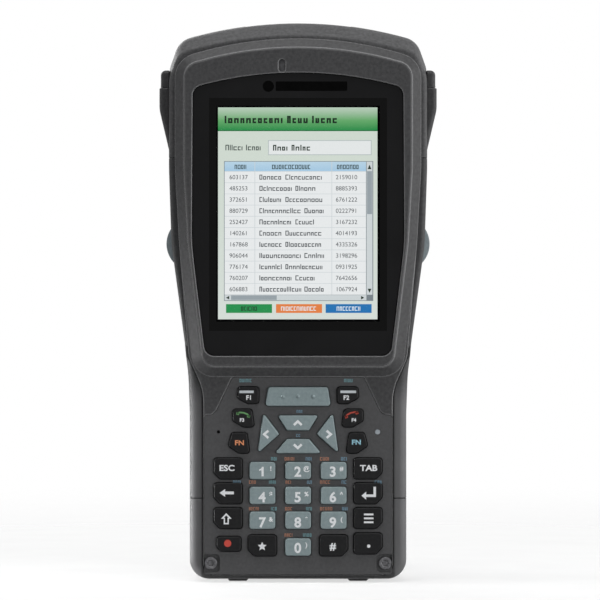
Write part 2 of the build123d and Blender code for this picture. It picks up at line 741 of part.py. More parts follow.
rear_casing = shell & rear_zone
tray_front_y = BAY_FLOOR_Y - BAY_WALL
tray_z = (BAY_FOOT - BAY_WALL, BAY_TOP + BAY_WALL)
tray = block(across(BAY_HALF + BAY_WALL), (tray_front_y, BAY_RIM_Y), tray_z)
tray -= block(across(BAY_HALF), (BAY_FLOOR_Y, BAY_RIM_Y + CLEAR), (BAY_FOOT, BAY_TOP))
wings = block(
    across(GRIP_HALF - WALL / 2), (tray_front_y, BAY_FLOOR_Y), (BASE_SEAM_Z + SEAM, BAY_TOP + BAY_WALL)
)
wings -= block(across(BAY_HALF), (tray_front_y - CLEAR, BAY_FLOOR_Y + CLEAR), (0, BAY_TOP))
tray_roof = block(
    across(BAY_HALF), (HOUSING_FRONT_Y, BAY_RIM_Y), (BAY_TOP, HOUSING_FOOT + CLEAR)
)
tray_roof -= barrel_room
knuckle_r = BARREL_R - KNUCKLE_LESS
knuckle = rod_x(HINGE_Y, HINGE_Z, knuckle_r, KNUCKLE_HALF)
knuckle += block(
    across(KNUCKLE_HALF), (HOUSING_FRONT_Y + EMBED, HINGE_Y), about(HINGE_Z, knuckle_r)
)
rear_casing += tray + wings + tray_roof + knuckle
rear_casing -= rod_x(HINGE_Y, HINGE_Z, PIN_R + PIN_FIT / 2, PIN_HALF + SEAT)
for side in (-1, 1):
    rear_casing += screw_boss(side * CASE_SCREW_X, LOW_SCREW_Z)
    rear_casing -= screw_bore(side * CASE_SCREW_X, LOW_SCREW_Z)
    rear_casing -= block(
        (side * BUTTON_INNER_X, side * (HEAD_HALF + CLEAR)),
        about(BUTTON_Y, BUTTON_HALF_Y + BUTTON_GAP),
        about(BUTTON_Z, BUTTON_HALF_Z + BUTTON_GAP),
    )
    for level in (-1, 1):
        hole_x = side * GRIP_HOLE_X / 2
        hole_z = GRIP_HOLE_MID_Z + level * GRIP_HOLE_Z / 2
        hole_end = HEAD_BACK_Y - GRIP_HOLE_DEPTH
        boss_front = hole_end - GRIP_BOSS_END
        rear_casing += rod_y(hole_x, hole_z, GRIP_BOSS_R, boss_front, HEAD_BACK_Y - WALL / 2)
        rear_casing -= rod_y(hole_x, hole_z, GRIP_HOLE_R, hole_end, HEAD_BACK_Y + CLEAR)
nodes["rear_casing"] = rear_casing

# Top cap with the seat of the scan window

end_cap = shell & cap_zone
window_y = (WINDOW_FRONT_Y, WINDOW_BACK_Y)
rim_y = (WINDOW_FRONT_Y - WINDOW_RIM, WINDOW_BACK_Y + WINDOW_RIM)
window_seat = block(
    across(WINDOW_HALF_X + WINDOW_RIM), rim_y, (WINDOW_SEAT_Z - WINDOW_SEAT_T, BODY_TOP)
)
end_cap += window_seat & outer_form
end_cap -= block(
    across(WINDOW_HALF_X + SEAT), (WINDOW_FRONT_Y - SEAT, WINDOW_BACK_Y + SEAT),
    (WINDOW_SEAT_Z, BODY_TOP + CLEAR),
)
end_cap -= block(
    across(WINDOW_HALF_X - WINDOW_RIM), (WINDOW_FRONT_Y + WINDOW_RIM, WINDOW_BACK_Y - WINDOW_RIM),
    (WINDOW_SEAT_Z - WINDOW_SEAT_T - CLEAR, WINDOW_SEAT_Z + CLEAR),
)
for side in (-1, 1):
    end_cap += screw_boss(side * CASE_SCREW_X, HIGH_SCREW_Z)
    end_cap -= screw_bore(side * CASE_SCREW_X, HIGH_SCREW_Z)
nodes["end_cap"] = end_cap

# Base cap with its feet, screw posts and latch keepers

base_cap = shell & base_zone
base_cap -= block(across(DOCK_HALF_X), across(DOCK_HALF_Y), (0, BODY_FOOT + WALL + CLEAR))
foot_outline = make_face(Polyline(
    (FOOT_MID - FOOT_HALF, BODY_FOOT + EMBED), (FOOT_MID - FOOT_HALF, BODY_FOOT),
    (FOOT_MID - FOOT_HALF + FOOT_SLANT, 0), (FOOT_MID + FOOT_HALF - FOOT_SLANT, 0),
    (FOOT_MID + FOOT_HALF, BODY_FOOT), (FOOT_MID + FOOT_HALF, BODY_FOOT + EMBED), close=True,
))
right_foot = prism(foot_outline, FOOT_FRONT_Y, GRIP_BACK_Y - FOOT_BACK_IN)
base_cap += right_foot
base_cap += mirror(right_foot, about=Plane.YZ)
floor_z = BODY_FOOT + WALL / 2
for side in (-1, 1):
    x = side * PLATE_SCREW_X
    wall_x = side * (GRIP_HALF - WALL / 2)
    post_y = (PARTING_Y + SEAT, POST_BACK_Y)
    post = block((x, wall_x), post_y, (floor_z, PLATE_SCREW_Z + POST_R))
    post += rod_y(x, PLATE_SCREW_Z, POST_R, *post_y)
    base_cap += post & outer_form
    base_cap -= rod_y(x, PLATE_SCREW_Z, SCREW_R + SCREW_FIT, PARTING_Y - CLEAR, POST_BACK_Y + CLEAR)
    keeper = block(
        about(side * LATCH_X, LATCH_PAD_W / 2), (BAY_RIM_Y + SEAM, BAY_RIM_Y + SEAM + KEEPER_T),
        (floor_z, LID_FOOT - SEAM),
    )
    base_cap += keeper & outer_form
nodes["base_cap"] = base_cap

# Battery lid, its hinge pin and its two latches

lid = outer_form & prism(lid_plan(SEAM), GRIP_BACK_Y - LID_T, HEAD_BACK_Y)
lid += rod_x(HINGE_Y, HINGE_Z, BARREL_R, LID_HALF - SEAM)
for index in range(LID_RIB_COUNT):
    rib_z = LID_FOOT + LID_RIB_LIFT + index * LID_RIB_PITCH
    rib_y = (GRIP_BACK_Y - EMBED, GRIP_BACK_Y + LID_RIB_H)
    lid += block(across(LID_HALF - LID_RIB_IN), rib_y, about(rib_z, LID_RIB_W / 2))
lid -= rod_x(HINGE_Y, HINGE_Z, PIN_R + PIN_FIT, LID_HALF + CLEAR)
lid -= block(
    across(KNUCKLE_HALF + SEAM), (HOUSING_FRONT_Y, HEAD_BACK_Y),
    (HINGE_Z - BARREL_R - SEAM, HOUSING_TOP),
)
stem_foot = LATCH_FOOT + LATCH_STEM_LIFT
stem_top = stem_foot + LATCH_STEM_H
for side in (-1, 1):
    lid -= block(
        about(side * LATCH_X, LATCH_STEM_W / 2 + LATCH_GAP), (HOUSING_FRONT_Y, HEAD_BACK_Y),
        (stem_foot - LATCH_GAP, stem_top + LATCH_TRAVEL + LATCH_GAP),
    )
nodes["battery_lid"] = lid
nodes["lid_hinge_pin"] = rod_x(HINGE_Y, HINGE_Z, PIN_R, PIN_HALF)


def latch(x):
    """A thumb pad outside the lid, joined through a slot to a bolt inside it."""
    pad_front = GRIP_BACK_Y + LATCH_GAP / 2
    pad = block(
        about(x, LATCH_PAD_W / 2), (pad_front, GRIP_BACK_Y + LATCH_PAD_RISE),
        (LATCH_FOOT, LATCH_FOOT + LATCH_PAD_H),
    )
    pad = fillet(pad.edges().filter_by(Axis.Y), LATCH_PAD_R)
    pad = chamfer(pad.faces().sort_by(Axis.Y)[-1].edges(), LATCH_PAD_EDGE)
    bolt_back = GRIP_BACK_Y - LID_T - LATCH_GAP
    stem = block(
        about(x, LATCH_STEM_W / 2), (bolt_back - SEAT, pad_front + SEAT), (stem_foot, stem_top)
    )
    bolt_foot = LATCH_FOOT - LATCH_BOLT_REACH
    bolt = block(
        about(x, LATCH_PAD_W / 2), (bolt_back - LATCH_BOLT_T, bolt_back),
        (bolt_foot, bolt_foot + LATCH_BOLT_H),
    )
    return pad + stem + bolt


nodes["lid_latch_left"] = latch(-LATCH_X)
nodes["lid_latch_right"] = latch(LATCH_X)

# Battery and its contacts

battery = block(
    across(BAY_HALF - BATTERY_GAP), (BAY_FLOOR_Y + BATTERY_GAP, BAY_RIM_Y - BATTERY_GAP),
    (BAY_FOOT + BATTERY_GAP, BAY_TOP - CONTACT_H - BATTERY_GAP),
)
nodes["battery_pack"] = fillet(battery.edges().filter_by(Axis.Z), BATTERY_EDGE_R)
contact_front = BAY_FLOOR_Y + CONTACT_IN
nodes["battery_contacts"] = block(
    across(CONTACT_HALF), (contact_front, contact_front + CONTACT_T),
    (BAY_TOP - CONTACT_H, BAY_TOP - SEAT),
)

# Front casing: tongue, sloping shoulder, rim, and the cuts for what it holds

front = prism(front_outline(), FACE_Y, PARTING_Y)
low_edge = Plane.XZ.offset(-FACE_Y) * head_outline(0.0, HEAD_FOOT)
high_edge = Plane.XZ.offset(-RIM_BACK_Y) * head_outline(SHOULDER, RIM_FOOT - EMBED)
front += loft([low_edge, high_edge], ruled=True)
rim = prism(head_outline(SHOULDER + SHOULDER_GAP, RIM_FOOT), RIM_Y, RIM_BACK_Y)
front += fillet(rim.faces().sort_by(Axis.Y)[0].edges(), RIM_EDGE_R)
head_hollow = prism(front_outline(WALL), LEDGE_BACK_Y, PARTING_Y + CLEAR)
head_hollow &= block(everywhere, everywhere, (GLASS_FOOT - HOLLOW_LOW, BODY_TOP))
front -= head_hollow
front -= prism(glass_outline(-PLATE_GAP), RIM_Y - CLEAR, LEDGE_FRONT_Y)
front -= view_window(RIM_Y - CLEAR, LEDGE_BACK_Y + CLEAR)
front -= prism(plate_outline(-PLATE_GAP), FACE_Y - CLEAR, FLANGE_Y)
well_z = (PLATE_FOOT + WELL_LIFT, PLATE_TOP - WELL_DROP)
well = block(across(PLATE_HALF - WELL_SIDE), (FACE_Y - CLEAR, WELL_BACK_Y), well_z)
well &= prism(plate_outline(WELL_EDGE), FACE_Y - CLEAR, PARTING_Y)
well_mouth = block(
    across(PLATE_HALF - WELL_SIDE - RAIL_W), (FACE_Y, PARTING_Y + CLEAR),
    (well_z[0] + RAIL_W, well_z[1] - RAIL_W),
)
well += well_mouth & prism(plate_outline(WELL_EDGE + RAIL_W), FACE_Y, PARTING_Y + CLEAR)
front -= well
slot = Pos(SLOT_X, SLOT_Z) * RectangleRounded(SLOT_W, SLOT_H, SLOT_W / 2 - FILM)
front -= prism(slot, RIM_Y - CLEAR, LEDGE_BACK_Y + CLEAR)
for side in (-1, 1):
    for z in (LOW_SCREW_Z, HIGH_SCREW_Z):
        x = side * CASE_SCREW_X
        front += rod_y(x, z, POST_R, LEDGE_BACK_Y - EMBED, BOSS_FRONT_Y - SEAT)
        front -= rod_y(x, z, SCREW_R + SCREW_FIT, PARTING_Y - 2 * CLEAR, BOSS_FRONT_Y + CLEAR)
    front -= rod_y(
        side * PLATE_SCREW_X, PLATE_SCREW_Z, SCREW_R + SHANK_ROOM, FACE_Y - CLEAR, PARTING_Y + CLEAR
    )
nodes["front_casing"] = front

# Display stack

nodes["display_glass"] = prism(glass_outline(), GLASS_Y, GASKET_Y)
gasket = prism(glass_outline(GASKET_IN), GASKET_Y + FILM, LEDGE_FRONT_Y - FILM)
nodes["display_gasket"] = gasket - view_window(GASKET_Y - CLEAR, LEDGE_FRONT_Y + CLEAR)
nodes["lcd_module"] = block(across(LCD_HALF), (LCD_Y, LCD_Y + LCD_T), (LCD_FOOT, LCD_TOP))
chassis_back = CHASSIS_Y + CHASSIS_T
chassis_z = (LCD_FOOT - CHASSIS_RIM, LCD_TOP + CHASSIS_RIM)
chassis = block(across(CHASSIS_HALF), (CHASSIS_Y, chassis_back), chassis_z)
for side in (-1, 1):
    leg_x = side * (CHASSIS_HALF - CHASSIS_LEG_IN)
    for leg_z in (chassis_z[0] + CHASSIS_LEG_IN, chassis_z[1] - CHASSIS_LEG_IN):
        leg = rod_y(leg_x, leg_z, CHASSIS_LEG_R, chassis_back - EMBED, BOARD_Y - SEAT)
        chassis += leg
nodes["display_chassis"] = chassis

# Boards and switches

board_face_y = BOARD_Y + BOARD_T
board_mid_z = (BOARD_FOOT + BOARD_TOP) / 2


def chip(x, z, width, height, thickness):
    chip_y = (board_face_y - SEAT, board_face_y + thickness)
    return block(about(x, width / 2), chip_y, about(z, height / 2))


board = block(everywhere, (BOARD_Y, board_face_y), (BOARD_FOOT, BOARD_TOP))
board &= prism(front_outline(WALL + BOARD_FIT), BOARD_Y, board_face_y)
upper_chips_z = board_mid_z + PROCESSOR_W + CHIP_GAP / 2
radio_z = board_mid_z - RADIO_H
board += chip(-(PROCESSOR_W + CHIP_GAP) / 2, upper_chips_z, PROCESSOR_W, PROCESSOR_W, PROCESSOR_T)
board += chip((MEMORY_W + CHIP_GAP) / 2 + CHIP_GAP, upper_chips_z, MEMORY_W, MEMORY_H, MEMORY_T)
board += chip(0, radio_z, RADIO_W, RADIO_H, RADIO_T)
board += chip(-(RADIO_W + CODEC_W) / 2 - CHIP_GAP, radio_z - RADIO_H, CODEC_W, CODEC_W, CODEC_T)
for side in (-1, 1):
    for z in (LOW_SCREW_Z, HIGH_SCREW_Z):
        x = side * CASE_SCREW_X
        notch = rod_y(x, z, POST_R + POST_GAP, BOARD_Y - CLEAR, board_face_y + CLEAR)
        notch += block(
            (x, side * FRONT_HALF), (BOARD_Y - CLEAR, board_face_y + CLEAR),
            about(z, POST_R + POST_GAP),
        )
        board -= notch
nodes["main_board"] = board

flange_inner_x = BUTTON_INNER_X - BUTTON_FLANGE_T
switch_outer_x = flange_inner_x - BUTTON_TRAVEL - SEAM
switches = []
for side in (-1, 1):
    switches.append(block(
        (side * switch_outer_x, side * (switch_outer_x - SWITCH_W)),
        (board_face_y + FILM, BUTTON_Y + SWITCH_HALF_Y), about(BUTTON_Z, SWITCH_HALF_Z),
    ))
nodes["side_switches"] = Compound(children=switches)

# Scan buttons: a crowned face outside, a flange inside the wall

button_top = BUTTON_Z + BUTTON_HALF_Z
button_foot = BUTTON_Z - BUTTON_HALF_Z
high_x = WAIST_HALF - BUTTON_SINK_HIGH
low_x = WAIST_HALF - BUTTON_SINK_LOW
lens_sides = Polyline(
    (high_x, button_top), (BUTTON_INNER_X, button_top), (BUTTON_INNER_X, button_foot),
    (low_x, button_foot),
)
lens_crown = ThreePointArc(
    (low_x, button_foot), (WAIST_HALF + BUTTON_CROWN, BUTTON_Z - BUTTON_CROWN_DROP),
    (high_x, button_top),
)
button = prism(
    make_face(Curve() + [lens_sides, lens_crown]), BUTTON_Y - BUTTON_HALF_Y, BUTTON_Y + BUTTON_HALF_Y
)
button += block(
    (flange_inner_x, BUTTON_INNER_X), about(BUTTON_Y, BUTTON_HALF_Y + BUTTON_FLANGE),
    about(BUTTON_Z, BUTTON_HALF_Z + BUTTON_FLANGE),
)
nodes["scan_button_right"] = button
nodes["scan_button_left"] = mirror(button, about=Plane.YZ)


# Key outlines, each as points and a corner radius

def box_points(x_range, foot, height):
    left, right = x_range
    return [(left, foot + height), (right, foot + height), (right, foot), (left, foot)]


def side_points(x_range, foot, height):
    """A dark left-hand key, whose outer lower corner is cut off in a slant."""
    outer, inner = x_range
    cut = 0.3 * height
    return [
        (outer, foot + height), (inner, foot + height), (inner, foot),
        (outer + cut, foot), (outer, foot + cut),
    ]


def fan_points(row, foot, height, top_in, top_out):
    """A left-hand key of the fan: its top is moved in or out, its lower outer corner is cut."""
    inner = -FAN_IN - row * FAN_STEP
    outer = inner - FAN_KEY_W
    cut = 0.35 * height
    return [
        (outer + top_out, foot + height), (inner - top_in, foot + height), (inner, foot),
        (inner - FAN_KEY_W / 2, foot), (outer, foot + cut),
    ]


def flip(points):
    return [(-x, z) for x, z in points]


key_shapes = {}
scan_top = SCAN_KEY_FOOT + SCAN_KEY_H
scan_top_half = SCAN_KEY_HALF - SCAN_KEY_SLANT
key_shapes["key_scan"] = (
    [(-scan_top_half, scan_top), (scan_top_half, scan_top), (SCAN_KEY_HALF, SCAN_KEY_FOOT),
     (-SCAN_KEY_HALF, SCAN_KEY_FOOT)],
    KEY_CORNER_R,
)
fan_keys = [
    ("key_f1", "key_f2", fan_points(0, FUNCTION_FOOT, FUNCTION_KEY_H, 0.0, FUNCTION_KEY_H / 20)),
    ("key_f3", "key_f4", fan_points(1, HANDSET_FOOT, HANDSET_KEY_H, HANDSET_KEY_H / 7, 0.0)),
    ("key_fn_left", "key_fn_right", fan_points(2, FAN_FOOT, FN_KEY_H, FN_KEY_H / 7, FN_KEY_H / 6)),
]
for left, right, points in fan_keys:
    key_shapes[left] = (points, KEY_CORNER_R)
    key_shapes[right] = (flip(points), KEY_CORNER_R)
up_foot = ARROW_Z + UP_KEY_LOW
up_top = ARROW_Z + UP_KEY_TOP
down_top = ARROW_Z - DOWN_KEY_TOP
arrow_out = FAN_IN + 2 * FAN_STEP - ARROW_GAP
key_shapes["key_up"] = (
    mirrored([(UP_KEY_HALF, up_top), (ARROW_NARROW_HALF, up_foot)]), ARROW_CORNER_R
)
key_shapes["key_down"] = (
    mirrored([(ARROW_NARROW_HALF, down_top), (DOWN_KEY_HALF, FAN_FOOT)]), ARROW_CORNER_R
)
side_arrow = [
    (-arrow_out + ARROW_LEAN, ARROW_Z + ARROW_SIDE_TOP), (-ARROW_TIP, ARROW_Z), (-arrow_out, FAN_FOOT)
]
key_shapes["key_left"] = (side_arrow, ARROW_CORNER_R)
key_shapes["key_right"] = (flip(side_arrow), ARROW_CORNER_R)

digit_pitch = DIGIT_W + DIGIT_GAP
side_x = (-SIDE_KEY_OUT, -SIDE_KEY_IN)
side_names = [
    ("key_esc", "key_tab"), ("key_backspace", "key_enter"), ("key_shift", "key_menu"),
]
for row, row_z in enumerate(DIGIT_ROWS):
    for column in range(3):
        middle = (column - 1) * digit_pitch
        corners = box_points(about(middle, DIGIT_W / 2), row_z - DIGIT_H / 2, DIGIT_H)
        key_shapes[f"key_{3 * row + column + 1}"] = (corners, KEY_CORNER_R)
    left, right = side_names[row]
    points = side_points(side_x, row_z - SIDE_KEY_DROP, SIDE_KEY_H)
    key_shapes[left] = (points, KEY_CORNER_R)
    key_shapes[right] = (flip(points), KEY_CORNER_R)

star_x = about(-digit_pitch, DIGIT_W / 2 + WIDER_KEY)
star_points = side_points(star_x, LOW_ROW_Z - STAR_KEY_DROP, SIDE_KEY_H)
point_points = side_points(side_x, LOW_ROW_Z - POINT_KEY_DROP, SIDE_KEY_H)
power_x = (-SIDE_KEY_IN - WIDER_KEY - POWER_KEY_W, -SIDE_KEY_IN - WIDER_KEY)
power_points = side_points(power_x, LOW_ROW_Z - POWER_KEY_DROP, POWER_KEY_H)
zero_points = box_points(across(DIGIT_W / 2), LOW_ROW_Z - DIGIT_H / 2, DIGIT_H)
key_shapes["key_power"] = (power_points, KEY_CORNER_R)
key_shapes["key_star"] = (star_points, KEY_CORNER_R)
key_shapes["key_0"] = (zero_points, KEY_CORNER_R)
key_shapes["key_hash"] = (flip(star_points), KEY_CORNER_R)
key_shapes["key_point"] = (flip(point_points), KEY_CORNER_R)

# Keys, and the plate that they come through

plate = prism(plate_outline(), FACE_Y, PLATE_BACK_Y)
cap_front = FACE_Y - KEY_RISE
for name, (points, radius) in key_shapes.items():
    outline = rounded(points, radius)
    plate -= prism(offset(outline, KEY_GAP), FACE_Y - CLEAR, PLATE_BACK_Y + CLEAR)
    cap = prism(outline, cap_front, FLANGE_Y + SEAT)
    cap = fillet(cap.faces().sort_by(Axis.Y)[0].edges(), KEY_EDGE_R)
    cap += prism(offset(outline, KEY_FLANGE), FLANGE_Y, FLANGE_Y + KEY_FLANGE_T)
    if name == "key_scan":
        for step in (-1, 0, 1):
            dot_z = SCAN_KEY_FOOT + SCAN_KEY_H / 2
            cap += Pos(step * SCAN_DOT_PITCH, cap_front, dot_z) * Sphere(SCAN_DOT_R)
    nodes[name] = cap
pocket_floor_y = PLATE_BACK_Y - POCKET_FLOOR_T
port_x = PLATE_HALF - PORT_IN
for side in (-1, 1):
    x = side * PLATE_SCREW_X
    pocket = block(
        about(x, SCREW_POCKET / 2), (FACE_Y - CLEAR, pocket_floor_y),
        about(PLATE_SCREW_Z, SCREW_POCKET / 2),
    )
    plate -= fillet(pocket.edges().filter_by(Axis.Y), POCKET_CORNER_R)
    plate -= rod_y(x, PLATE_SCREW_Z, SCREW_R + SHANK_ROOM, FACE_Y - CLEAR, PLATE_BACK_Y + CLEAR)
plate -= rod_y(-port_x, PORT_Z, MIC_HOLE_R, FACE_Y - CLEAR, PLATE_BACK_Y + CLEAR)
plate -= rod_y(port_x, PORT_Z, LED_R + SEAT, FACE_Y - CLEAR, PLATE_BACK_Y + CLEAR)
nodes["keypad_plate"] = plate


def well_sheet(front_y, back_y):
    """A flat piece that fills the keypad well."""
    sheet = block(
        across(PLATE_HALF - WELL_SIDE - WELL_FIT), (front_y, back_y),
        (well_z[0] + WELL_FIT, well_z[1] - WELL_FIT),
    )
    return sheet & prism(plate_outline(WELL_EDGE + WELL_FIT), front_y - CLEAR, back_y + CLEAR)


nodes["key_mat"] = well_sheet(MAT_Y, MAT_Y + MAT_T)
nodes["keypad_board"] = well_sheet(KEYBOARD_Y, KEYBOARD_Y + KEYBOARD_T)
led = rod_y(port_x, PORT_Z, LED_R, FACE_Y + SEAT / 2, MAT_Y - SEAT / 2)
led += rod_y(port_x, PORT_Z, LED_R + LED_FLANGE, FLANGE_Y, MAT_Y - SEAT / 2)
nodes["status_led"] = led

# Speaker, scan window and scan engine

nodes["speaker"] = rod_y(SLOT_X, SLOT_Z, SPEAKER_R, LEDGE_BACK_Y + SEAT, LEDGE_BACK_Y + SEAT + SPEAKER_T)
nodes["scan_window"] = block(
    across(WINDOW_HALF_X), window_y, (WINDOW_SEAT_Z + FILM, WINDOW_SEAT_Z + WINDOW_T)
)
engine_top = WINDOW_SEAT_Z - WINDOW_SEAT_T - SEAM
nodes["scan_engine"] = block(
    across(ENGINE_HALF_X), (WINDOW_FRONT_Y + ENGINE_IN, WINDOW_BACK_Y - ENGINE_IN),
    (engine_top - ENGINE_H, engine_top),
)

# Side bumpers, each with a groove under its brow and a toe that runs into the head

root_x = HEAD_HALF - BUMPER_ROOT
brow_x = BUMPER_HALF - BUMPER_BROW_IN
bumper_y = (PARTING_Y + BUMPER_FRONT_IN, HEAD_BACK_Y - BUMPER_BACK_IN)
side_foot_z = BUMPER_GROOVE_Z - BUMPER_SIDE_H
bumper_face = make_face(Polyline(
    (root_x, BUMPER_TOP), (brow_x, BUMPER_TOP), (brow_x, BUMPER_GROOVE_Z + BUMPER_GROOVE_W),
    (BUMPER_HALF, BUMPER_GROOVE_Z - BUMPER_GROOVE_W), (BUMPER_HALF, side_foot_z),
    (HEAD_HALF - BUMPER_FOOT_IN, BUMPER_FOOT), (root_x, BUMPER_FOOT), close=True,
))
bumper_face = fillet(corners_at(bumper_face, brow_x, BUMPER_TOP), BUMPER_CORNER_R)
bumper_face = fillet(corners_at(bumper_face, BUMPER_HALF, side_foot_z), BUMPER_SIDE_R)
bumper = prism(bumper_face, *bumper_y)
outer_edges = []
for edge in bumper.edges():
    beside_root = edge.center().X > root_x + CLEAR and edge.center().Z > BUMPER_FOOT + CLEAR
    if beside_root and abs(edge.tangent_at(0.5).Y) < 0.1:
        outer_edges.append(edge)
bumper = fillet(outer_edges, BUMPER_EDGE_R)
groove_z = about(BUMPER_GROOVE_Z, BUMPER_GROOVE_W / 2)
groove = block((root_x, BUMPER_HALF + CLEAR), (bumper_y[0] - CLEAR, bumper_y[1] + CLEAR), groove_z)
groove_floor_y = (bumper_y[0] + BUMPER_GROOVE_DEPTH, bumper_y[1] - BUMPER_GROOVE_DEPTH)
groove -= block((root_x, brow_x - BUMPER_GROOVE_DEPTH), groove_floor_y, groove_z)
bumper -= groove
bumper -= prism(body_outline(-SEAT), PARTING_Y, HEAD_BACK_Y)
bumper = max(bumper.solids(), key=lambda solid: solid.volume)
nodes["side_bumpers"] = Compound(children=[bumper, mirror(bumper, about=Plane.YZ)])

# Dock connector

dock_roof_z = BODY_FOOT + DOCK_DEPTH
dock = block(
    across(DOCK_HALF_X + DOCK_WALL), across(DOCK_HALF_Y + DOCK_WALL),
    (BODY_FOOT + WALL + SEAM, dock_roof_z + DOCK_ROOF_T),
)
dock -= block(across(DOCK_HALF_X), across(DOCK_HALF_Y), (0, dock_roof_z))
nodes["dock_connector"] = dock


# Screws, with heads that stand on the floors of their pockets

def screw(x, z, head_r, head_y, tip_y):
    """A screw along Y without its socket. The head lies between two depths."""
    shank_y = sorted((tip_y, *head_y))
    return rod_y(x, z, head_r, *head_y) + rod_y(x, z, SCREW_R, shank_y[0], shank_y[2])


def socket(x, z, front_y, back_y):
    return prism(Pos(x, z) * RegularPolygon(SOCKET_R, 6), front_y, back_y)


plate_head_y = (pocket_floor_y - PLATE_HEAD_T - FILM, pocket_floor_y - FILM)
case_head_y = (CASE_HEAD_Y - CASE_HEAD_T + FILM, CASE_HEAD_Y)
keypad_screws = []
casing_screws = []
for side in (-1, 1):
    x = side * PLATE_SCREW_X
    plate_screw = screw(x, PLATE_SCREW_Z, PLATE_HEAD_R, plate_head_y, POST_BACK_Y - EMBED)
    plate_screw -= socket(
        x, PLATE_SCREW_Z, plate_head_y[0] - CLEAR, plate_head_y[0] + PLATE_SOCKET_DEPTH
    )
    keypad_screws.append(plate_screw)
    x = side * CASE_SCREW_X
    for z in (LOW_SCREW_Z, HIGH_SCREW_Z):
        case_screw = screw(x, z, CASE_HEAD_R, case_head_y, PARTING_Y - CLEAR)
        case_screw -= socket(x, z, CASE_HEAD_Y - CASE_SOCKET_DEPTH, CASE_HEAD_Y + CLEAR)
        casing_screws.append(case_screw)
nodes["keypad_screws"] = Compound(children=keypad_screws)
nodes["casing_screws"] = Compound(children=casing_screws)

os.makedirs("parts", exist_ok=True)
for name, solid in nodes.items():
    export_step(solid, f"parts/{name}.step")
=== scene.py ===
import math
import random

import bmesh
import bpy
from mathutils import Matrix, Vector


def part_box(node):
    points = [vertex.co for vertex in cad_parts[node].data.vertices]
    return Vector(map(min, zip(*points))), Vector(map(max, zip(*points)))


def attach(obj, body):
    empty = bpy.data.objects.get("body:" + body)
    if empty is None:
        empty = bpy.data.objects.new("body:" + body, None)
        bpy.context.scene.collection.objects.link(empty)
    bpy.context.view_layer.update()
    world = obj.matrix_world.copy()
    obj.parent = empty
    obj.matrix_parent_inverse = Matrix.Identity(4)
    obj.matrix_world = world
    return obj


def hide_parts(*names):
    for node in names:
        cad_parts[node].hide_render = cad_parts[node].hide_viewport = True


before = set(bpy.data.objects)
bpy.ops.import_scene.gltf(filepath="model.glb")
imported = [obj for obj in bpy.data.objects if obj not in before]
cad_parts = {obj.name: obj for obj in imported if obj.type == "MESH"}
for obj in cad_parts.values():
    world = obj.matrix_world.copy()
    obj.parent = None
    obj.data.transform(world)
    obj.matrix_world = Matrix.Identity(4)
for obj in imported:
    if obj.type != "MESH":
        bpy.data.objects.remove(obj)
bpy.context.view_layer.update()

mm = 0.001
root = "terminal"  # the body that everything fixed rides on

# the camera, and the front view, 600 pixels wide, in which the display and small prints are laid out
view = {"lens": 200.0, "sensor": 36.0, "width": 0.2136, "x": 0.0007, "z": 0.1009, "faceY": -0.021}
view["distance"] = view["width"] * view["lens"] / view["sensor"]
frontView = {"pixel": 0.356 * mm, "middleX": 298.0, "footZ": 583.3}


def toLinear(value):
    value = value / 255
    return value / 12.92 if value <= 0.04045 else ((value + 0.055) / 1.055) ** 2.4


def shade(red, green, blue):
    # a colour given as it shows on a screen, 0 to 255
    return (toLinear(red), toLinear(green), toLinear(blue), 1.0)


def grey(level):
    return (level, level, level, 1.0)


def atDepth(px, py, y):
    # the x and z at depth y that are seen at this place of the front view
    scale = (view["distance"] + y - view["faceY"]) / view["distance"]
    x = (px - frontView["middleX"]) * frontView["pixel"]
    z = (frontView["footZ"] - py) * frontView["pixel"]
    return view["x"] + (x - view["x"]) * scale, view["z"] + (z - view["z"]) * scale


def newPiece(name, data):
    piece = bpy.data.objects.new(name, data)
    bpy.context.scene.collection.objects.link(piece)
    return piece


def discard(piece):
    data = piece.data
    bpy.data.objects.remove(piece)
    store = bpy.data.curves if isinstance(data, bpy.types.Curve) else bpy.data.meshes
    store.remove(data)


def keptAs(name, holder, material=None, place=None):
    # a curve, text or grown piece as a plain mesh, with its place in the mesh
    bpy.context.view_layer.update()
    mesh = bpy.data.meshes.new_from_object(holder.evaluated_get(bpy.context.evaluated_depsgraph_get()))
    discard(holder)
    if place:
        mesh.transform(place)
    mesh.materials.clear()
    if material:
        mesh.materials.append(material)
    return newPiece(name, mesh)


def smooth(piece):
    # smooth shading, with edges sharper than 35 degrees kept
    piece.data.shade_smooth()
    piece.data.set_sharp_from_angle(angle=math.radians(35))
    return piece


def pieceFrom(bm, name, *materials):
    mesh = bpy.data.meshes.new(name)
    bm.to_mesh(mesh)
    bm.free()
    for material in materials:
        mesh.materials.append(material)
    return newPiece(name, mesh)


def joined(pieces, name):
    # several mesh pieces as one, with their materials kept
    bm = bmesh.new()
    materials = []
    for piece in pieces:
        offset = len(bm.faces)
        bm.from_mesh(piece.data)
        bm.faces.ensure_lookup_table()
        lookup = []
        for material in piece.data.materials:
            if material not in materials:
                materials.append(material)
            lookup.append(materials.index(material))
        for face in bm.faces[offset:]:
            face.material_index = lookup[face.material_index] if lookup else 0
        discard(piece)
    return pieceFrom(bm, name, *materials)


def arcPoints(centre, radius, startDeg, endDeg, steps):
    points = []
    for i in range(steps + 1):
        angle = math.radians(startDeg + (endDeg - startDeg) * i / steps)
        points.append((centre[0] + radius * math.cos(angle), centre[1] + radius * math.sin(angle)))
    return points


def disc(centre, radius, corners):
    return arcPoints(centre, radius, 0, 360 - 360 / corners, corners - 1)


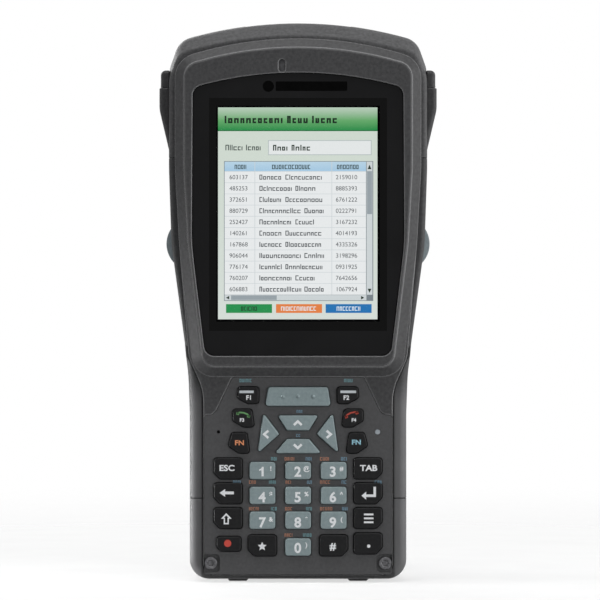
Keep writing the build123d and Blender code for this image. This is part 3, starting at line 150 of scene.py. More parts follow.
def roundedBox(x0, x1, z0, z1, radius, steps=6):
    radius = min(radius, (x1 - x0) / 2.001, (z1 - z0) / 2.001)
    centres = ((x1 - radius, z1 - radius), (x0 + radius, z1 - radius), (x0 + radius, z0 + radius),
               (x1 - radius, z0 + radius))
    points = []
    for i, centre in enumerate(centres):
        points += arcPoints(centre, radius, 90 * i, 90 * (i + 1), steps)
    return points


# what the node trees below are put together from
def plug(tree, socket, value):
    # an input is given its value, or is linked to another node's output
    if isinstance(value, bpy.types.NodeSocket):
        tree.links.new(value, socket)
    else:
        socket.default_value = value


def feed(tree, node, **inputs):
    for label, value in inputs.items():
        plug(tree, node.inputs[label.replace("_", " ")], value)


def add(tree, kind, settings=None, **inputs):
    node = tree.nodes.new(kind)
    for label, value in (settings or {}).items():
        setattr(node, label, value)
    feed(tree, node, **inputs)
    return node


def ownPlace(tree):
    # a place in the piece's own coordinates
    return add(tree, "ShaderNodeTexCoord").outputs["Object"]


def noiseOf(tree, scale, detail=2.0, roughness=0.5, stretch=None):
    place = ownPlace(tree)
    if stretch:
        place = add(tree, "ShaderNodeMapping", Vector=place, Scale=stretch).outputs["Vector"]
    noise = add(tree, "ShaderNodeTexNoise", Vector=place, Scale=scale, Detail=detail, Roughness=roughness)
    return noise.outputs["Fac"]


def reckon(tree, operation, *terms):
    # a maths node
    node = add(tree, "ShaderNodeMath", {"operation": operation})
    for socket, term in zip(node.inputs, terms):
        plug(tree, socket, term)
    return node.outputs[0]


def between(tree, value, low, high, start=0.0, end=1.0, ease="LINEAR"):
    # from low to high as the value goes from start to end
    spread = add(tree, "ShaderNodeMapRange", {"interpolation_type": ease}, Value=value, From_Min=start,
                 From_Max=end, To_Min=low, To_Max=high)
    return spread.outputs["Result"]


def rampOf(tree, value, low, high, start=0.3, end=0.7):
    # from one colour to another as the value goes from start to end
    ramp = add(tree, "ShaderNodeValToRGB", Fac=value)
    first, last = ramp.color_ramp.elements
    first.position, first.color = start, low
    last.position, last.color = end, high
    return ramp.outputs["Color"]


def laidOver(tree, mask, below, above, way="MIX"):
    # one colour over another, where the mask is 1
    settings = {"data_type": "RGBA", "blend_type": way}
    return add(tree, "ShaderNodeMix", settings, Factor=mask, A=below, B=above).outputs["Result"]


# effects that several finishes share
def newGroup(name, inputs, outputs):
    group = bpy.data.node_groups.new(name, "ShaderNodeTree")
    for label, value in inputs.items():
        item = group.interface.new_socket(name=label, in_out="INPUT", socket_type="NodeSocketFloat")
        item.default_value = value
    for label, kind in outputs.items():
        group.interface.new_socket(name=label, in_out="OUTPUT", socket_type="NodeSocket" + kind)
    return group, add(group, "NodeGroupInput").outputs, add(group, "NodeGroupOutput")


def placeGroup(tree, group, **values):
    return add(tree, "ShaderNodeGroup", {"node_tree": group}, **values).outputs


def makeGrainGroup():
    # spark-eroded mould grain: fine pits for the bump, and a soft mottle for the colour
    group, given, end = newGroup("mouldGrain", {"Grain Size": 1500.0, "Mottle Size": 260.0},
                                 {"Height": "Float", "Mottle": "Float", "Speck": "Float"})
    pitShare = 0.5
    fine = noiseOf(group, given["Grain Size"], 3.0, 0.65)
    pits = add(group, "ShaderNodeTexVoronoi", {"feature": "SMOOTH_F1"}, Vector=ownPlace(group),
               Scale=given["Grain Size"])
    height = reckon(group, "MULTIPLY_ADD", pits.outputs["Distance"], pitShare, fine)
    feed(group, end, Height=height, Mottle=noiseOf(group, given["Mottle Size"], 5.0, 0.6), Speck=fine)
    return group


def makeEdgeGroup():
    # softened edges: a rounded normal for the gloss, and a mask that is 1 on edges
    group, given, end = newGroup("softEdge", {"Radius": 0.4 * mm, "Gain": 3.0},
                                 {"Normal": "Vector", "Edge": "Float"})
    rounded = add(group, "ShaderNodeBevel", {"samples": 4}, Radius=given["Radius"]).outputs["Normal"]
    dot = add(group, "ShaderNodeVectorMath", {"operation": "DOT_PRODUCT"})
    plug(group, dot.inputs[0], rounded)
    plug(group, dot.inputs[1], add(group, "ShaderNodeNewGeometry").outputs["Normal"])
    edge = reckon(group, "MULTIPLY", reckon(group, "SUBTRACT", 1.0, dot.outputs["Value"]), given["Gain"])
    edge.node.use_clamp = True
    feed(group, end, Normal=rounded, Edge=edge)
    return group


def makeHandGroup():
    # a mask for a painted highlight on the grip: 1 on its sides, fading out below the head
    group, given, end = newGroup("paintedGripLight", {"Half Width": 34.2 * mm, "Top": 76 * mm}, {"Mask": "Float"})
    place = add(group, "ShaderNodeSeparateXYZ", Vector=ownPlace(group)).outputs
    pastSide = reckon(group, "SUBTRACT", reckon(group, "ABSOLUTE", place["X"]), given["Half Width"])
    pastTop = reckon(group, "SUBTRACT", place["Z"], given["Top"])
    onSide = between(group, pastSide, 0.0, 1.0, 0.0, 0.8 * mm, "SMOOTHSTEP")
    belowTop = between(group, pastTop, 0.0, 1.0, 0.0, -14 * mm, "SMOOTHSTEP")
    uneven = between(group, noiseOf(group, 90.0, 4.0), 0.8, 1.0, 0.3, 0.7)
    feed(group, end, Mask=reckon(group, "MULTIPLY", reckon(group, "MULTIPLY", onSide, belowTop), uneven))
    return group


grainGroup = makeGrainGroup()
edgeGroup = makeEdgeGroup()
gripLightGroup = makeHandGroup()


def newMaterial(name, **inputs):
    material = bpy.data.materials.new(name)
    material.use_nodes = True
    tree = material.node_tree
    shader = tree.nodes["Principled BSDF"]
    feed(tree, shader, **inputs)
    return material, tree, shader


def makeMoulded(name, low, high, edge, roughness=(0.42, 0.6), grain=1500.0, bump=0.1, edgeRadius=0.5 * mm,
                edgeGain=2.2, specular=0.2, gripHighlight=None):
    # a moulded finish: mottled colour between low and high, grain in the bump, a painted highlight along the
    # edges and, where given, a painted highlight on the grip's sides
    material, tree, shader = newMaterial(name, Specular_IOR_Level=specular)
    texture = placeGroup(tree, grainGroup, Grain_Size=grain, Mottle_Size=900.0)
    soft = placeGroup(tree, edgeGroup, Radius=edgeRadius, Gain=edgeGain)
    colour = rampOf(tree, texture["Mottle"], shade(*low), shade(*high), 0.34, 0.66)
    # the grip's sides take a lighter colour, a painted highlight where side light falls
    if gripHighlight:
        colour = laidOver(tree, placeGroup(tree, gripLightGroup)["Mask"], colour, shade(*gripHighlight))
    relief = add(tree, "ShaderNodeBump", Strength=bump, Distance=0.06 * mm, Height=texture["Height"],
                 Normal=soft["Normal"])
    # the edge colour is a painted highlight, laid along the edges by the edge mask
    feed(tree, shader, Base_Color=laidOver(tree, soft["Edge"], colour, shade(*edge)),
         Roughness=between(tree, texture["Speck"], *roughness), Normal=relief.outputs["Normal"])
    return material


# edge colours are a painted highlight along the edges; the colour laid on the grip's sides is a painted
# highlight too
mouldings = {
    "casing": dict(low=(54, 54, 55), high=(68, 68, 69), edge=(104, 104, 105), gripHighlight=(100, 100, 101),
                   bump=0.5),
    "frontCasing": dict(low=(52, 52, 53), high=(68, 68, 69), edge=(176, 176, 177), gripHighlight=(104, 104, 105),
                        bump=0.5, edgeRadius=0.8 * mm, edgeGain=3.2),
    "endCap": dict(low=(62, 62, 63), high=(84, 84, 85), edge=(138, 138, 139), bump=0.6,
                   edgeRadius=0.7 * mm, edgeGain=3.0),
    "baseCap": dict(low=(56, 56, 57), high=(70, 70, 71), edge=(104, 104, 105), gripHighlight=(102, 102, 103),
                    bump=0.5),
    "plate": dict(low=(70, 70, 71), high=(78, 78, 79), edge=(104, 104, 105), bump=0.2,
                  roughness=(0.45, 0.6), edgeRadius=0.2 * mm),
    "bumperRubber": dict(low=(40, 40, 41), high=(58, 58, 59), edge=(120, 120, 121), bump=0.25,
                         roughness=(0.38, 0.55), edgeRadius=0.8 * mm),
    "lid": dict(low=(50, 50, 51), high=(66, 66, 67), edge=(100, 100, 101), bump=0.5),
    "latchPlastic": dict(low=(26, 26, 27), high=(36, 36, 37), edge=(70, 70, 70), bump=0.2),
    "keyDark": dict(low=(22, 22, 23), high=(30, 30, 31), edge=(52, 52, 53), bump=0.12,
                    roughness=(0.26, 0.4), edgeRadius=0.4 * mm, specular=0.12),
    "keyGrey": dict(low=(127, 141, 143), high=(138, 152, 154), edge=(160, 172, 174), bump=0.12,
                    roughness=(0.38, 0.5), edgeRadius=0.3 * mm),
    "buttonRubber": dict(low=(132, 142, 146), high=(146, 156, 160), edge=(164, 172, 176), bump=0.15,
                         roughness=(0.42, 0.55), edgeRadius=0.6 * mm),
    "foam": dict(low=(18, 18, 18), high=(28, 28, 28), edge=(30, 30, 30), bump=0.4,
                 roughness=(0.8, 0.95), grain=3000.0),
    "matSilicone": dict(low=(60, 62, 64), high=(70, 72, 74), edge=(80, 82, 84)),
    "batteryCase": dict(low=(30, 30, 32), high=(38, 38, 40), edge=(60, 60, 62), bump=0.3),
    "engineCase": dict(low=(26, 27, 29), high=(34, 35, 37), edge=(60, 60, 62), bump=0.2,
                       roughness=(0.3, 0.45)),
    "switchCase": dict(low=(28, 28, 28), high=(36, 36, 36), edge=(60, 60, 60)),
    "dockPlastic": dict(low=(18, 18, 18), high=(26, 26, 26), edge=(50, 50, 50), roughness=(0.3, 0.45)),
    "labelDark": dict(low=(36, 36, 38), high=(42, 42, 44), edge=(60, 60, 62), bump=0.05,
                      roughness=(0.3, 0.4), edgeRadius=0.1 * mm),
    "labelPale": dict(low=(196, 198, 198), high=(208, 210, 210), edge=(220, 220, 220), bump=0.05,
                      roughness=(0.4, 0.5), edgeRadius=0.1 * mm),
    "board": dict(low=(16, 70, 36), high=(22, 86, 46), edge=(60, 110, 70), bump=0.05, roughness=(0.25, 0.4)),
}
made = {name: makeMoulded(name, **values) for name, values in mouldings.items()}


def makeMetal(name, low, high, roughness, stretch=None):
    # plated or brushed metal; stretch draws its grain out along the piece
    material, tree, shader = newMaterial(name, Metallic=1.0)
    noise = noiseOf(tree, 900.0, 4.0, stretch=stretch)
    relief = add(tree, "ShaderNodeBump", Strength=0.1, Distance=0.02 * mm, Height=noise)
    feed(tree, shader, Base_Color=rampOf(tree, noise, shade(*low), shade(*high), 0.35, 0.65),
         Roughness=between(tree, noise, *roughness), Normal=relief.outputs["Normal"])
    return material


metals = {
    "screwSteel": dict(low=(96, 98, 100), high=(126, 128, 130), roughness=(0.3, 0.45)),
    "screwDark": dict(low=(74, 74, 76), high=(98, 98, 100), roughness=(0.35, 0.5)),
    "pinSteel": dict(low=(160, 162, 164), high=(196, 198, 200), roughness=(0.2, 0.35), stretch=(0.05, 1, 1)),
    "chassisSteel": dict(low=(150, 152, 154), high=(180, 182, 184), roughness=(0.35, 0.5)),
    "contactGold": dict(low=(206, 168, 92), high=(226, 190, 118), roughness=(0.2, 0.3)),
    "speakerSteel": dict(low=(70, 70, 72), high=(96, 96, 98), roughness=(0.35, 0.5)),
}
made.update({name: makeMetal(name, **values) for name, values in metals.items()})


def makeEven(name, low, high, roughness, scale=300.0, **inputs):
    # a smooth finish with a faint cloud in it; roughness is one number, or a low and a high one
    material, tree, shader = newMaterial(name, **inputs)
    noise = noiseOf(tree, scale)
    sheen = between(tree, noise, *roughness) if isinstance(roughness, tuple) else roughness
    feed(tree, shader, Base_Color=rampOf(tree, noise, low, high), Roughness=sheen)
    return material


def makeInk(name, colour):
    darker = tuple(part * 0.82 for part in colour[:3]) + (1.0,)
    return makeEven("ink" + name[0].upper() + name[1:], darker, colour, 0.5, 2500.0)


made.update({
    "displayEdge": makeEven("displayEdge", shade(3, 3, 4), shade(7, 7, 8), (0.5, 0.6),
                            Specular_IOR_Level=0.03),
    "redWindow": makeEven("redWindow", shade(74, 10, 14), shade(88, 14, 18), (0.05, 0.1), Alpha=0.85),
    "lampLens": makeEven("lampLens", shade(146, 154, 160), shade(162, 169, 174), (0.3, 0.4)),
    "sensorDark": makeEven("sensorDark", shade(3, 3, 3), shade(7, 7, 7), 0.2, 400.0,
                           Specular_IOR_Level=0.02),
})

inkColours = {
    "white": (236, 238, 240), "paleGrey": (200, 206, 210), "green": (96, 150, 92), "red": (176, 62, 46),
    "powerRed": (196, 66, 52), "orange": (226, 146, 100), "paleBlue": (150, 200, 216),
    "teal": (108, 152, 158), "dullOrange": (174, 120, 94), "dullBlue": (112, 146, 166),
    "dullGrey": (96, 96, 98),
}
inks = {name: makeInk(name, shade(*colour)) for name, colour in inkColours.items()}

nodeFinish = {
    "rear_casing": "casing", "front_casing": "frontCasing", "end_cap": "endCap", "base_cap": "baseCap",
    "keypad_plate": "plate", "side_bumpers": "bumperRubber", "display_gasket": "foam",
    "display_chassis": "chassisSteel", "main_board": "board", "keypad_board": "board",
    "side_switches": "switchCase", "scan_engine": "engineCase", "speaker": "speakerSteel",
    "key_mat": "matSilicone", "battery_pack": "batteryCase", "battery_contacts": "contactGold",
    "battery_lid": "lid", "lid_latch_left": "latchPlastic", "lid_latch_right": "latchPlastic",
    "lid_hinge_pin": "pinSteel", "dock_connector": "dockPlastic", "keypad_screws": "screwSteel",
    "casing_screws": "screwSteel", "scan_button_left": "buttonRubber", "scan_button_right": "buttonRubber",
    "lcd_module": "displayEdge", "scan_window": "redWindow", "status_led": "lampLens",
}
greyKeys = {"key_scan", "key_up", "key_down", "key_left", "key_right"} | {f"key_{d}" for d in range(10)}


def dress(node, material):
    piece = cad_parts[node]
    if not piece.data.materials:
        piece.data.materials.append(material)
    for slot in piece.material_slots:
        slot.material = material


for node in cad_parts:
    if node in nodeFinish:
        dress(node, made[nodeFinish[node]])
    elif node.startswith("key_"):
        dress(node, made["keyGrey" if node in greyKeys else "keyDark"])
print("finishes on the casings and keys")

# prints and lettering stand a little proud of their surface and reach a little into it
prints = {"proud": 0.02 * mm, "depth": 0.04 * mm, "capital": 0.69, "stem": 0.17}
smallPrint = {"letters": "nnuccool", "first": "coln", "lower": 0.7, "narrow": 0.5, "wide": 0.66, "gap": 0.9,
              "inset": 0.02}  # shares of a letter's height, and the last two of its stem
upright = Matrix.Rotation(math.radians(90), 4, "X")  # a curve's own y becomes z, and it faces the front


def flatShape(name, loops, frontY, thickness, material=None, bevel=0.0, steps=2):
    # loops in x and z; a loop inside another is a hole
    curve = bpy.data.curves.new(name, "CURVE")
    curve.dimensions = "2D"
    curve.fill_mode = "BOTH"
    curve.extrude = thickness / 2 - bevel
    curve.bevel_depth = bevel
    curve.bevel_resolution = steps
    curve.offset = -bevel
    for loop in loops:
        line = curve.splines.new("POLY")
        line.points.add(len(loop) - 1)
        for corner, (x, z) in zip(line.points, loop):
            corner.co = (x, z, 0, 1)
        line.use_cyclic_u = True
    place = Matrix.Translation((0, frontY + thickness / 2, 0)) @ upright
    return smooth(keptAs(name, newPiece(name, curve), material, place))


def words(name, text, x, z, height, material, frontY, weight=0.0, stretch=1.0, align="CENTER",
          thickness=prints["depth"]):
    # lettering with its middle height at z; height is that of a capital
    curve = bpy.data.curves.new(name, "FONT")
    curve.body = text
    curve.size = height / prints["capital"]
    curve.align_x = align
    curve.offset = weight
    curve.extrude = thickness / 2
    curve.resolution_u = 4
    place = (Matrix.Translation((x, frontY + thickness / 2, z)) @ upright
             @ Matrix.Translation((0, -height / 2, 0)) @ Matrix.Diagonal((stretch, 1, 1, 1)))
    return keptAs(name, newPiece(name, curve), material, place)


def letterShapes(x0, x1, base, height, draw, lower=True, weight=prints["stem"]):
    # unreadable small print between x0 and x1: stems, some joined at the head, the foot or both
    stem = weight * height
    x = x0
    loops = []
    while x < x1 - stem:
        kind = draw.choice(smallPrint["letters"]) if x > x0 else draw.choice(smallPrint["first"])
        tall = height if kind == "l" or not lower or x == x0 else smallPrint["lower"] * height
        right = x + draw.uniform(smallPrint["narrow"], smallPrint["wide"]) * height
        low, high = base, base + tall
        if kind == "l" or right > x1:
            right = x + stem
            loops.append([(x, low), (right, low), (right, high), (x, high)])
        elif kind == "n":
            loops.append([(x, low), (x + stem, low), (x + stem, high - stem), (right - stem, high - stem),
                          (right - stem, low), (right, low), (right, high), (x, high)])
        elif kind == "u":
            loops.append([(x, high), (x, low), (right, low), (right, high), (right - stem, high),
                          (right - stem, low + stem), (x + stem, low + stem), (x + stem, high)])
        else:
            loops.append([(x, low), (right, low), (right, low + stem), (x + stem, low + stem),
                          (x + stem, high - stem), (right, high - stem), (right, high), (x, high)])
        if kind == "o" and right > x + stem:
            foot, head = low + stem * (1 + smallPrint["inset"]), high - stem * (1 + smallPrint["inset"])
            loops.append([(right - stem, foot), (right, foot), (right, head), (right - stem, head)])
        x = right + stem * smallPrint["gap"]
    return loops


# display glass: a clear pane with a black printed border; boxes as half width, foot and head
glass = {"clear": (29.1 * mm, 93.2 * mm, 170.1 * mm), "dark": (31.7 * mm, 89.9 * mm, 172.9 * mm),
         "clearAlpha": 0.04, "printDepth": 0.03 * mm, "round": (268.3, 86.1), "roundRadius": 2.0 * mm,
         "barLeft": 275.7, "barTop": 81.3, "barRight": 347.2, "barFoot": 90.8, "barRadius": 0.3 * mm}


def insideBox(tree, place, halfX, lowZ, highZ):
    # 1 inside a box in x and z, 0 outside
    middleZ = (lowZ + highZ) / 2
    insideX = reckon(tree, "COMPARE", place["X"], 0.0, halfX)
    insideZ = reckon(tree, "COMPARE", place["Z"], middleZ, highZ - middleZ)
    return reckon(tree, "MULTIPLY", insideX, insideZ)


def makeGlassFinish():
    # a darker ink borders the clear opening
    material, tree, shader = newMaterial("printedGlass", Specular_IOR_Level=0.08)
    noise = noiseOf(tree, 60.0, 4.0)
    place = add(tree, "ShaderNodeSeparateXYZ", Vector=ownPlace(tree)).outputs
    border = rampOf(tree, noise, shade(19, 19, 20), shade(24, 24, 25))
    darkBox, clearBox = insideBox(tree, place, *glass["dark"]), insideBox(tree, place, *glass["clear"])
    soft = placeGroup(tree, edgeGroup, Radius=0.5 * mm, Gain=2.0)
    feed(tree, shader, Base_Color=laidOver(tree, darkBox, border, shade(4, 4, 4)),
         Roughness=between(tree, noise, 0.06, 0.12), Normal=soft["Normal"],
         Alpha=between(tree, clearBox, 1.0, glass["clearAlpha"]))
    return material


def makeGlassPrints(glassY):
    # a dark round and a dark bar above the picture
    x0, z1 = atDepth(glass["barLeft"], glass["barTop"], glassY)
    x1, z0 = atDepth(glass["barRight"], glass["barFoot"], glassY)
    darkRound = disc(atDepth(*glass["round"], glassY), glass["roundRadius"], 36)
    darkBar = roundedBox(x0, x1, z0, z1, glass["barRadius"])
    thin = glass["printDepth"]
    piece = flatShape("glassPrints", [darkRound, darkBar], glassY - thin, thin, made["sensorDark"])
    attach(piece, root)


dress("display_glass", makeGlassFinish())
makeGlassPrints(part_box("display_glass")[0].y)
print("display glass")

# the lit picture, laid out in pixels of the front view
screenColours = {
    "body": (206, 217, 206), "bodyLow": (214, 222, 216), "headTop": (186, 206, 188),
    "headMid": (98, 168, 104), "headLow": (0, 134, 62), "headEdge": (0, 104, 52), "title": (8, 38, 20),
    "label": (52, 66, 62), "field": (228, 232, 232), "fieldEdge": (180, 190, 190),
    "tableHead": (184, 212, 230), "tableHeadLow": (164, 200, 226), "row": (232, 235, 236),
    "line": (204, 211, 214), "text": (56, 62, 68), "bar": (205, 212, 214), "thumb": (150, 160, 166),
    "green": (26, 142, 74), "orange": (226, 126, 62), "blue": (22, 112, 178),
    "buttonText": (226, 236, 240), "barEdge": (120, 130, 136),
}
screen = {"left": 218.0, "right": 377.4, "top": 107.3, "foot": 319.2, "headFoot": 131.0, "headMiddle": 0.55,
          "headEdge": 0.9, "strength": 1.06, "behind": 0.03 * mm, "layerStep": 0.02 * mm}
table = {"left": 224.6, "right": 366.0, "top": 161.6, "foot": 294.6, "headFoot": 171.0, "rowTop": 171.4,
         "rowPitch": 11.2, "columns": (254.8, 331.8), "rowLine": 0.25, "columnLine": 0.3, "edge": 0.6,
         "barWidth": 7.2, "barHeight": 6.2, "numberX": 229.2, "taskX": 259.4, "taskGap": 3.0, "unitX": 335.6,
         "numberDigits": 6, "unitDigits": 7, "digits": 4.3, "letters": 5.0,
         # three kinds of row, with the lengths of their two words
         "tasks": {"a": (23, 37), "b": (33, 20), "c": (42, 20)}, "rows": "abacbaacabc"}
buttons = {"top": 304.0, "foot": 312.8, "row": 308.5, "letters": 4.2,
           # left, right, colour, ink and half the word's length
           "places": ((226.0, 272.0, "green", "title", 8.0), (276.0, 322.0, "orange", "buttonText", 18.0),
                      (325.6, 371.6, "blue", "buttonText", 12.0))}
fieldBoxes = (
    # left, top, right, foot, colour and layer
    (268.0, 140.0, 371.6, 155.0, "fieldEdge", 1), (268.8, 140.8, 370.8, 154.2, "field", 2),
    (366.6, 161.6, 372.4, 294.6, "bar", 3), (367.0, 171.0, 372.0, 214.0, "thumb", 4),
    (224.6, 294.9, 366.4, 300.2, "bar", 3), (231.0, 295.3, 276.7, 299.8, "thumb", 4),
)
arrowHeads = (
    ((367.6, 169.0), (371.4, 169.0), (369.5, 164.6)),
    ((367.6, 288.6), (371.4, 288.6), (369.5, 292.6)),
    ((229.2, 295.8), (229.2, 299.4), (226.0, 297.6)),
    ((361.0, 295.8), (361.0, 299.4), (364.2, 297.6)),
)
printLines = (
    # the spans of a line's words, and how they are printed
    (((224.6, 283.0), (287.0, 308.0), (312.0, 340.0)),
     dict(py=119.4, height=7.4, colour="title", layer=2, weight=0.24)),
    (((225.4, 243.0), (246.0, 261.5)), dict(py=147.4, height=5.6, colour="label", layer=2)),
    (((273.0, 288.5), (291.5, 311.0)), dict(py=147.6, height=5.8, colour="title", layer=3, weight=0.2)),
    (((234.6, 247.0), (272.0, 311.0), (337.0, 359.0)),
     dict(py=166.8, height=4.4, colour="title", layer=4, lower=False)),
)


class Picture:
    # flat coloured shapes gathered in one mesh, each layer a little in front of the last
    def __init__(self, y):
        self.bm = bmesh.new()
        self.ink = self.bm.loops.layers.float_color.new("ink")
        self.y = y

    def polygon(self, points, colour, layer, low=None):
        # the corners past the second take the low colour, where one is given
        y = self.y - layer * screen["layerStep"]
        corners = []
        for px, py in points:
            x, z = atDepth(px, py, y)
            corners.append(self.bm.verts.new((x, y, z)))
        face = self.bm.faces.new(corners)
        face.normal_update()
        if face.normal.y > 0:
            face.normal_flip()
        for loop in face.loops:
            below = low and corners.index(loop.vert) > 1
            loop[self.ink] = shade(*screenColours[low if below else colour])

    def box(self, x0, y0, x1, y1, colour, layer, low=None):
        self.polygon([(x0, y0), (x1, y0), (x1, y1), (x0, y1)], colour, layer, low)

    def digits(self, text, px, py, height, colour, layer):
        # px at the left end and py at the middle height; height is a digit's
        y = self.y - layer * screen["layerStep"]
        x, z = atDepth(px, py, y)
        piece = words("line", text, x, z, height * frontView["pixel"], None, y, align="LEFT", thickness=0.0)
        offset = len(self.bm.faces)
        self.bm.from_mesh(piece.data)
        self.bm.faces.ensure_lookup_table()
        for face in self.bm.faces[offset:]:
            for loop in face.loops:
                loop[self.ink] = shade(*screenColours[colour])
        discard(piece)

    def word(self, px0, px1, py, height, colour, layer, draw, lower=True, weight=prints["stem"]):
        # a word too small to read, with py at the middle height of a capital
        for loop in letterShapes(px0, px1, -py - height / 2, height, draw, lower, weight):
            self.polygon([(px, -pz) for px, pz in loop], colour, layer)


def makePictureFinish():
    # the picture lights itself, with a faint grain
    material, tree, shader = newMaterial("displayPicture", Specular_IOR_Level=0.1, Roughness=0.6,
                                         Base_Color=grey(0.02), Emission_Strength=screen["strength"])
    ink = add(tree, "ShaderNodeVertexColor", {"layer_name": "ink"}).outputs["Color"]
    grain = rampOf(tree, noiseOf(tree, 4000.0, 1.0), grey(0.97), grey(1.0))
    feed(tree, shader, Emission_Color=laidOver(tree, 1.0, ink, grain, "MULTIPLY"))
    return material


def drawTable(picture, draw):
    x0, x1, y0, y1 = table["left"], table["right"], table["top"], table["foot"]
    edge = table["edge"]
    picture.box(x0 - edge, y0 - edge, x1 + table["barWidth"], y1 + table["barHeight"], "barEdge", 1)
    picture.box(x0, y0, x1, y1, "row", 2)
    picture.box(x0, y0, x1, table["headFoot"], "tableHead", 3, "tableHeadLow")
    for row in range(len(table["rows"]) + 1):
        y = table["rowTop"] + row * table["rowPitch"]
        if y < y1:
            picture.box(x0, y - table["rowLine"], x1, y + table["rowLine"], "line", 4)
    for px in table["columns"]:
        picture.box(px - table["columnLine"], y0, px + table["columnLine"], y1, "line", 4)
    for row, kind in enumerate(table["rows"]):
        y = table["rowTop"] + (row + 0.5) * table["rowPitch"]
        number = "".join(draw.choice("0123456789") for _ in range(table["numberDigits"]))
        unit = "".join(draw.choice("0123456789") for _ in range(table["unitDigits"]))
        picture.digits(number, table["numberX"], y, table["digits"], "text", 4)
        px = table["taskX"]
        for length in table["tasks"][kind]:
            picture.word(px, px + length, y, table["letters"], "text", 4, draw)
            px += length + table["taskGap"]
        picture.digits(unit, table["unitX"], y, table["digits"], "text", 4)


def makePicture():
    draw = random.Random(7)
    picture = Picture(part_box("lcd_module")[0].y - screen["behind"])
    left, right, top, headFoot = screen["left"], screen["right"], screen["top"], screen["headFoot"]
    headMiddle = top + screen["headMiddle"] * (headFoot - top)
    picture.box(left, top, right, screen["foot"], "body", 0, "bodyLow")
    picture.box(left, top, right, headMiddle, "headTop", 1, "headMid")
    picture.box(left, headMiddle, right, headFoot, "headMid", 1, "headLow")
    picture.box(left, headFoot - screen["headEdge"], right, headFoot, "headEdge", 2)
    for box in fieldBoxes:
        picture.box(*box)
    for corners in arrowHeads:
        picture.polygon(corners, "title", 5)
    for spans, looks in printLines:
        for px0, px1 in spans:
            picture.word(px0, px1, draw=draw, **looks)
    drawTable(picture, draw)
    for px0, px1, colour, ink, reach in buttons["places"]:
        middle = (px0 + px1) / 2
        picture.box(px0, buttons["top"], px1, buttons["foot"], colour, 2)
        picture.word(middle - reach, middle + reach, buttons["row"], buttons["letters"], ink, 3, draw, False)
    piece = pieceFrom(picture.bm, "displayPicture", makePictureFinish())
    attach(piece, root)


makePicture()
print("display picture")

# lettering and marks on the keys; places and heights in mm
keyFace = -18.8 * mm
boldness = {"large": 0.045, "small": 0.05, "limit": 1.6, "letterStretch": 1.15}
handsetShape = {"spine": ((-2.3, -0.35), (-1.5, 0.25), (0.0, 0.5), (1.5, 0.25), (2.3, -0.35)), "width": 0.55,
                "cup": ((1.45, 0.1), (2.5, 0.1), (2.5, -0.75), (1.5, -0.75))}
arrowWidth = 0.85
sharpest = 0.3  # past this a mitred corner is cut back
star = {"x": -12.8, "z": 13.0, "tip": 1.7, "notch": 0.78}


def point(x, z):
    return (x * mm, z * mm)


def shape(*corners):
    return [point(*corner) for corner in corners]


def bar(x0, x1, z0, z1, radius=0.1):
    return roundedBox(x0 * mm, x1 * mm, z0 * mm, z1 * mm, radius * mm, 3)


def strokeLoop(points, width):
    # an open line of straight legs given a width, with mitred corners
    legs = [(Vector(b) - Vector(a)).normalized() for a, b in zip(points, points[1:])]
    sides = {1: [], -1: []}
    for i, corner in enumerate(points):
        before = legs[max(i - 1, 0)]
        after = legs[min(i, len(legs) - 1)]
        along = (before + after).normalized()
        across = Vector((-along.y, along.x))
        reach = width / 2 / max(across.dot(Vector((-after.y, after.x))), sharpest)
        for side in sides:
            sides[side].append(Vector(corner) + across * reach * side)
    return shape(*sides[1], *sides[-1][::-1])


def handset(x, z, turn):
    # a telephone handset seen from the side: a bowed bar with a cup at each end
    cos, sin = math.cos(math.radians(turn)), math.sin(math.radians(turn))

    def placed(px, pz):
        return (x + px * cos - pz * sin, z + px * sin + pz * cos)

    loops = [strokeLoop([placed(*corner) for corner in handsetShape["spine"]], handsetShape["width"])]
    for side in (-1, 1):
        loops.append(shape(*[placed(side * px, pz) for px, pz in handsetShape["cup"]]))
    return loops


def starShape():
    corners = []
    for i in range(10):
        radius, angle = star["notch" if i % 2 else "tip"], math.radians(36 * i)
        corners.append((star["x"] + radius * math.sin(angle), star["z"] + radius * math.cos(angle)))
    return shape(*corners)


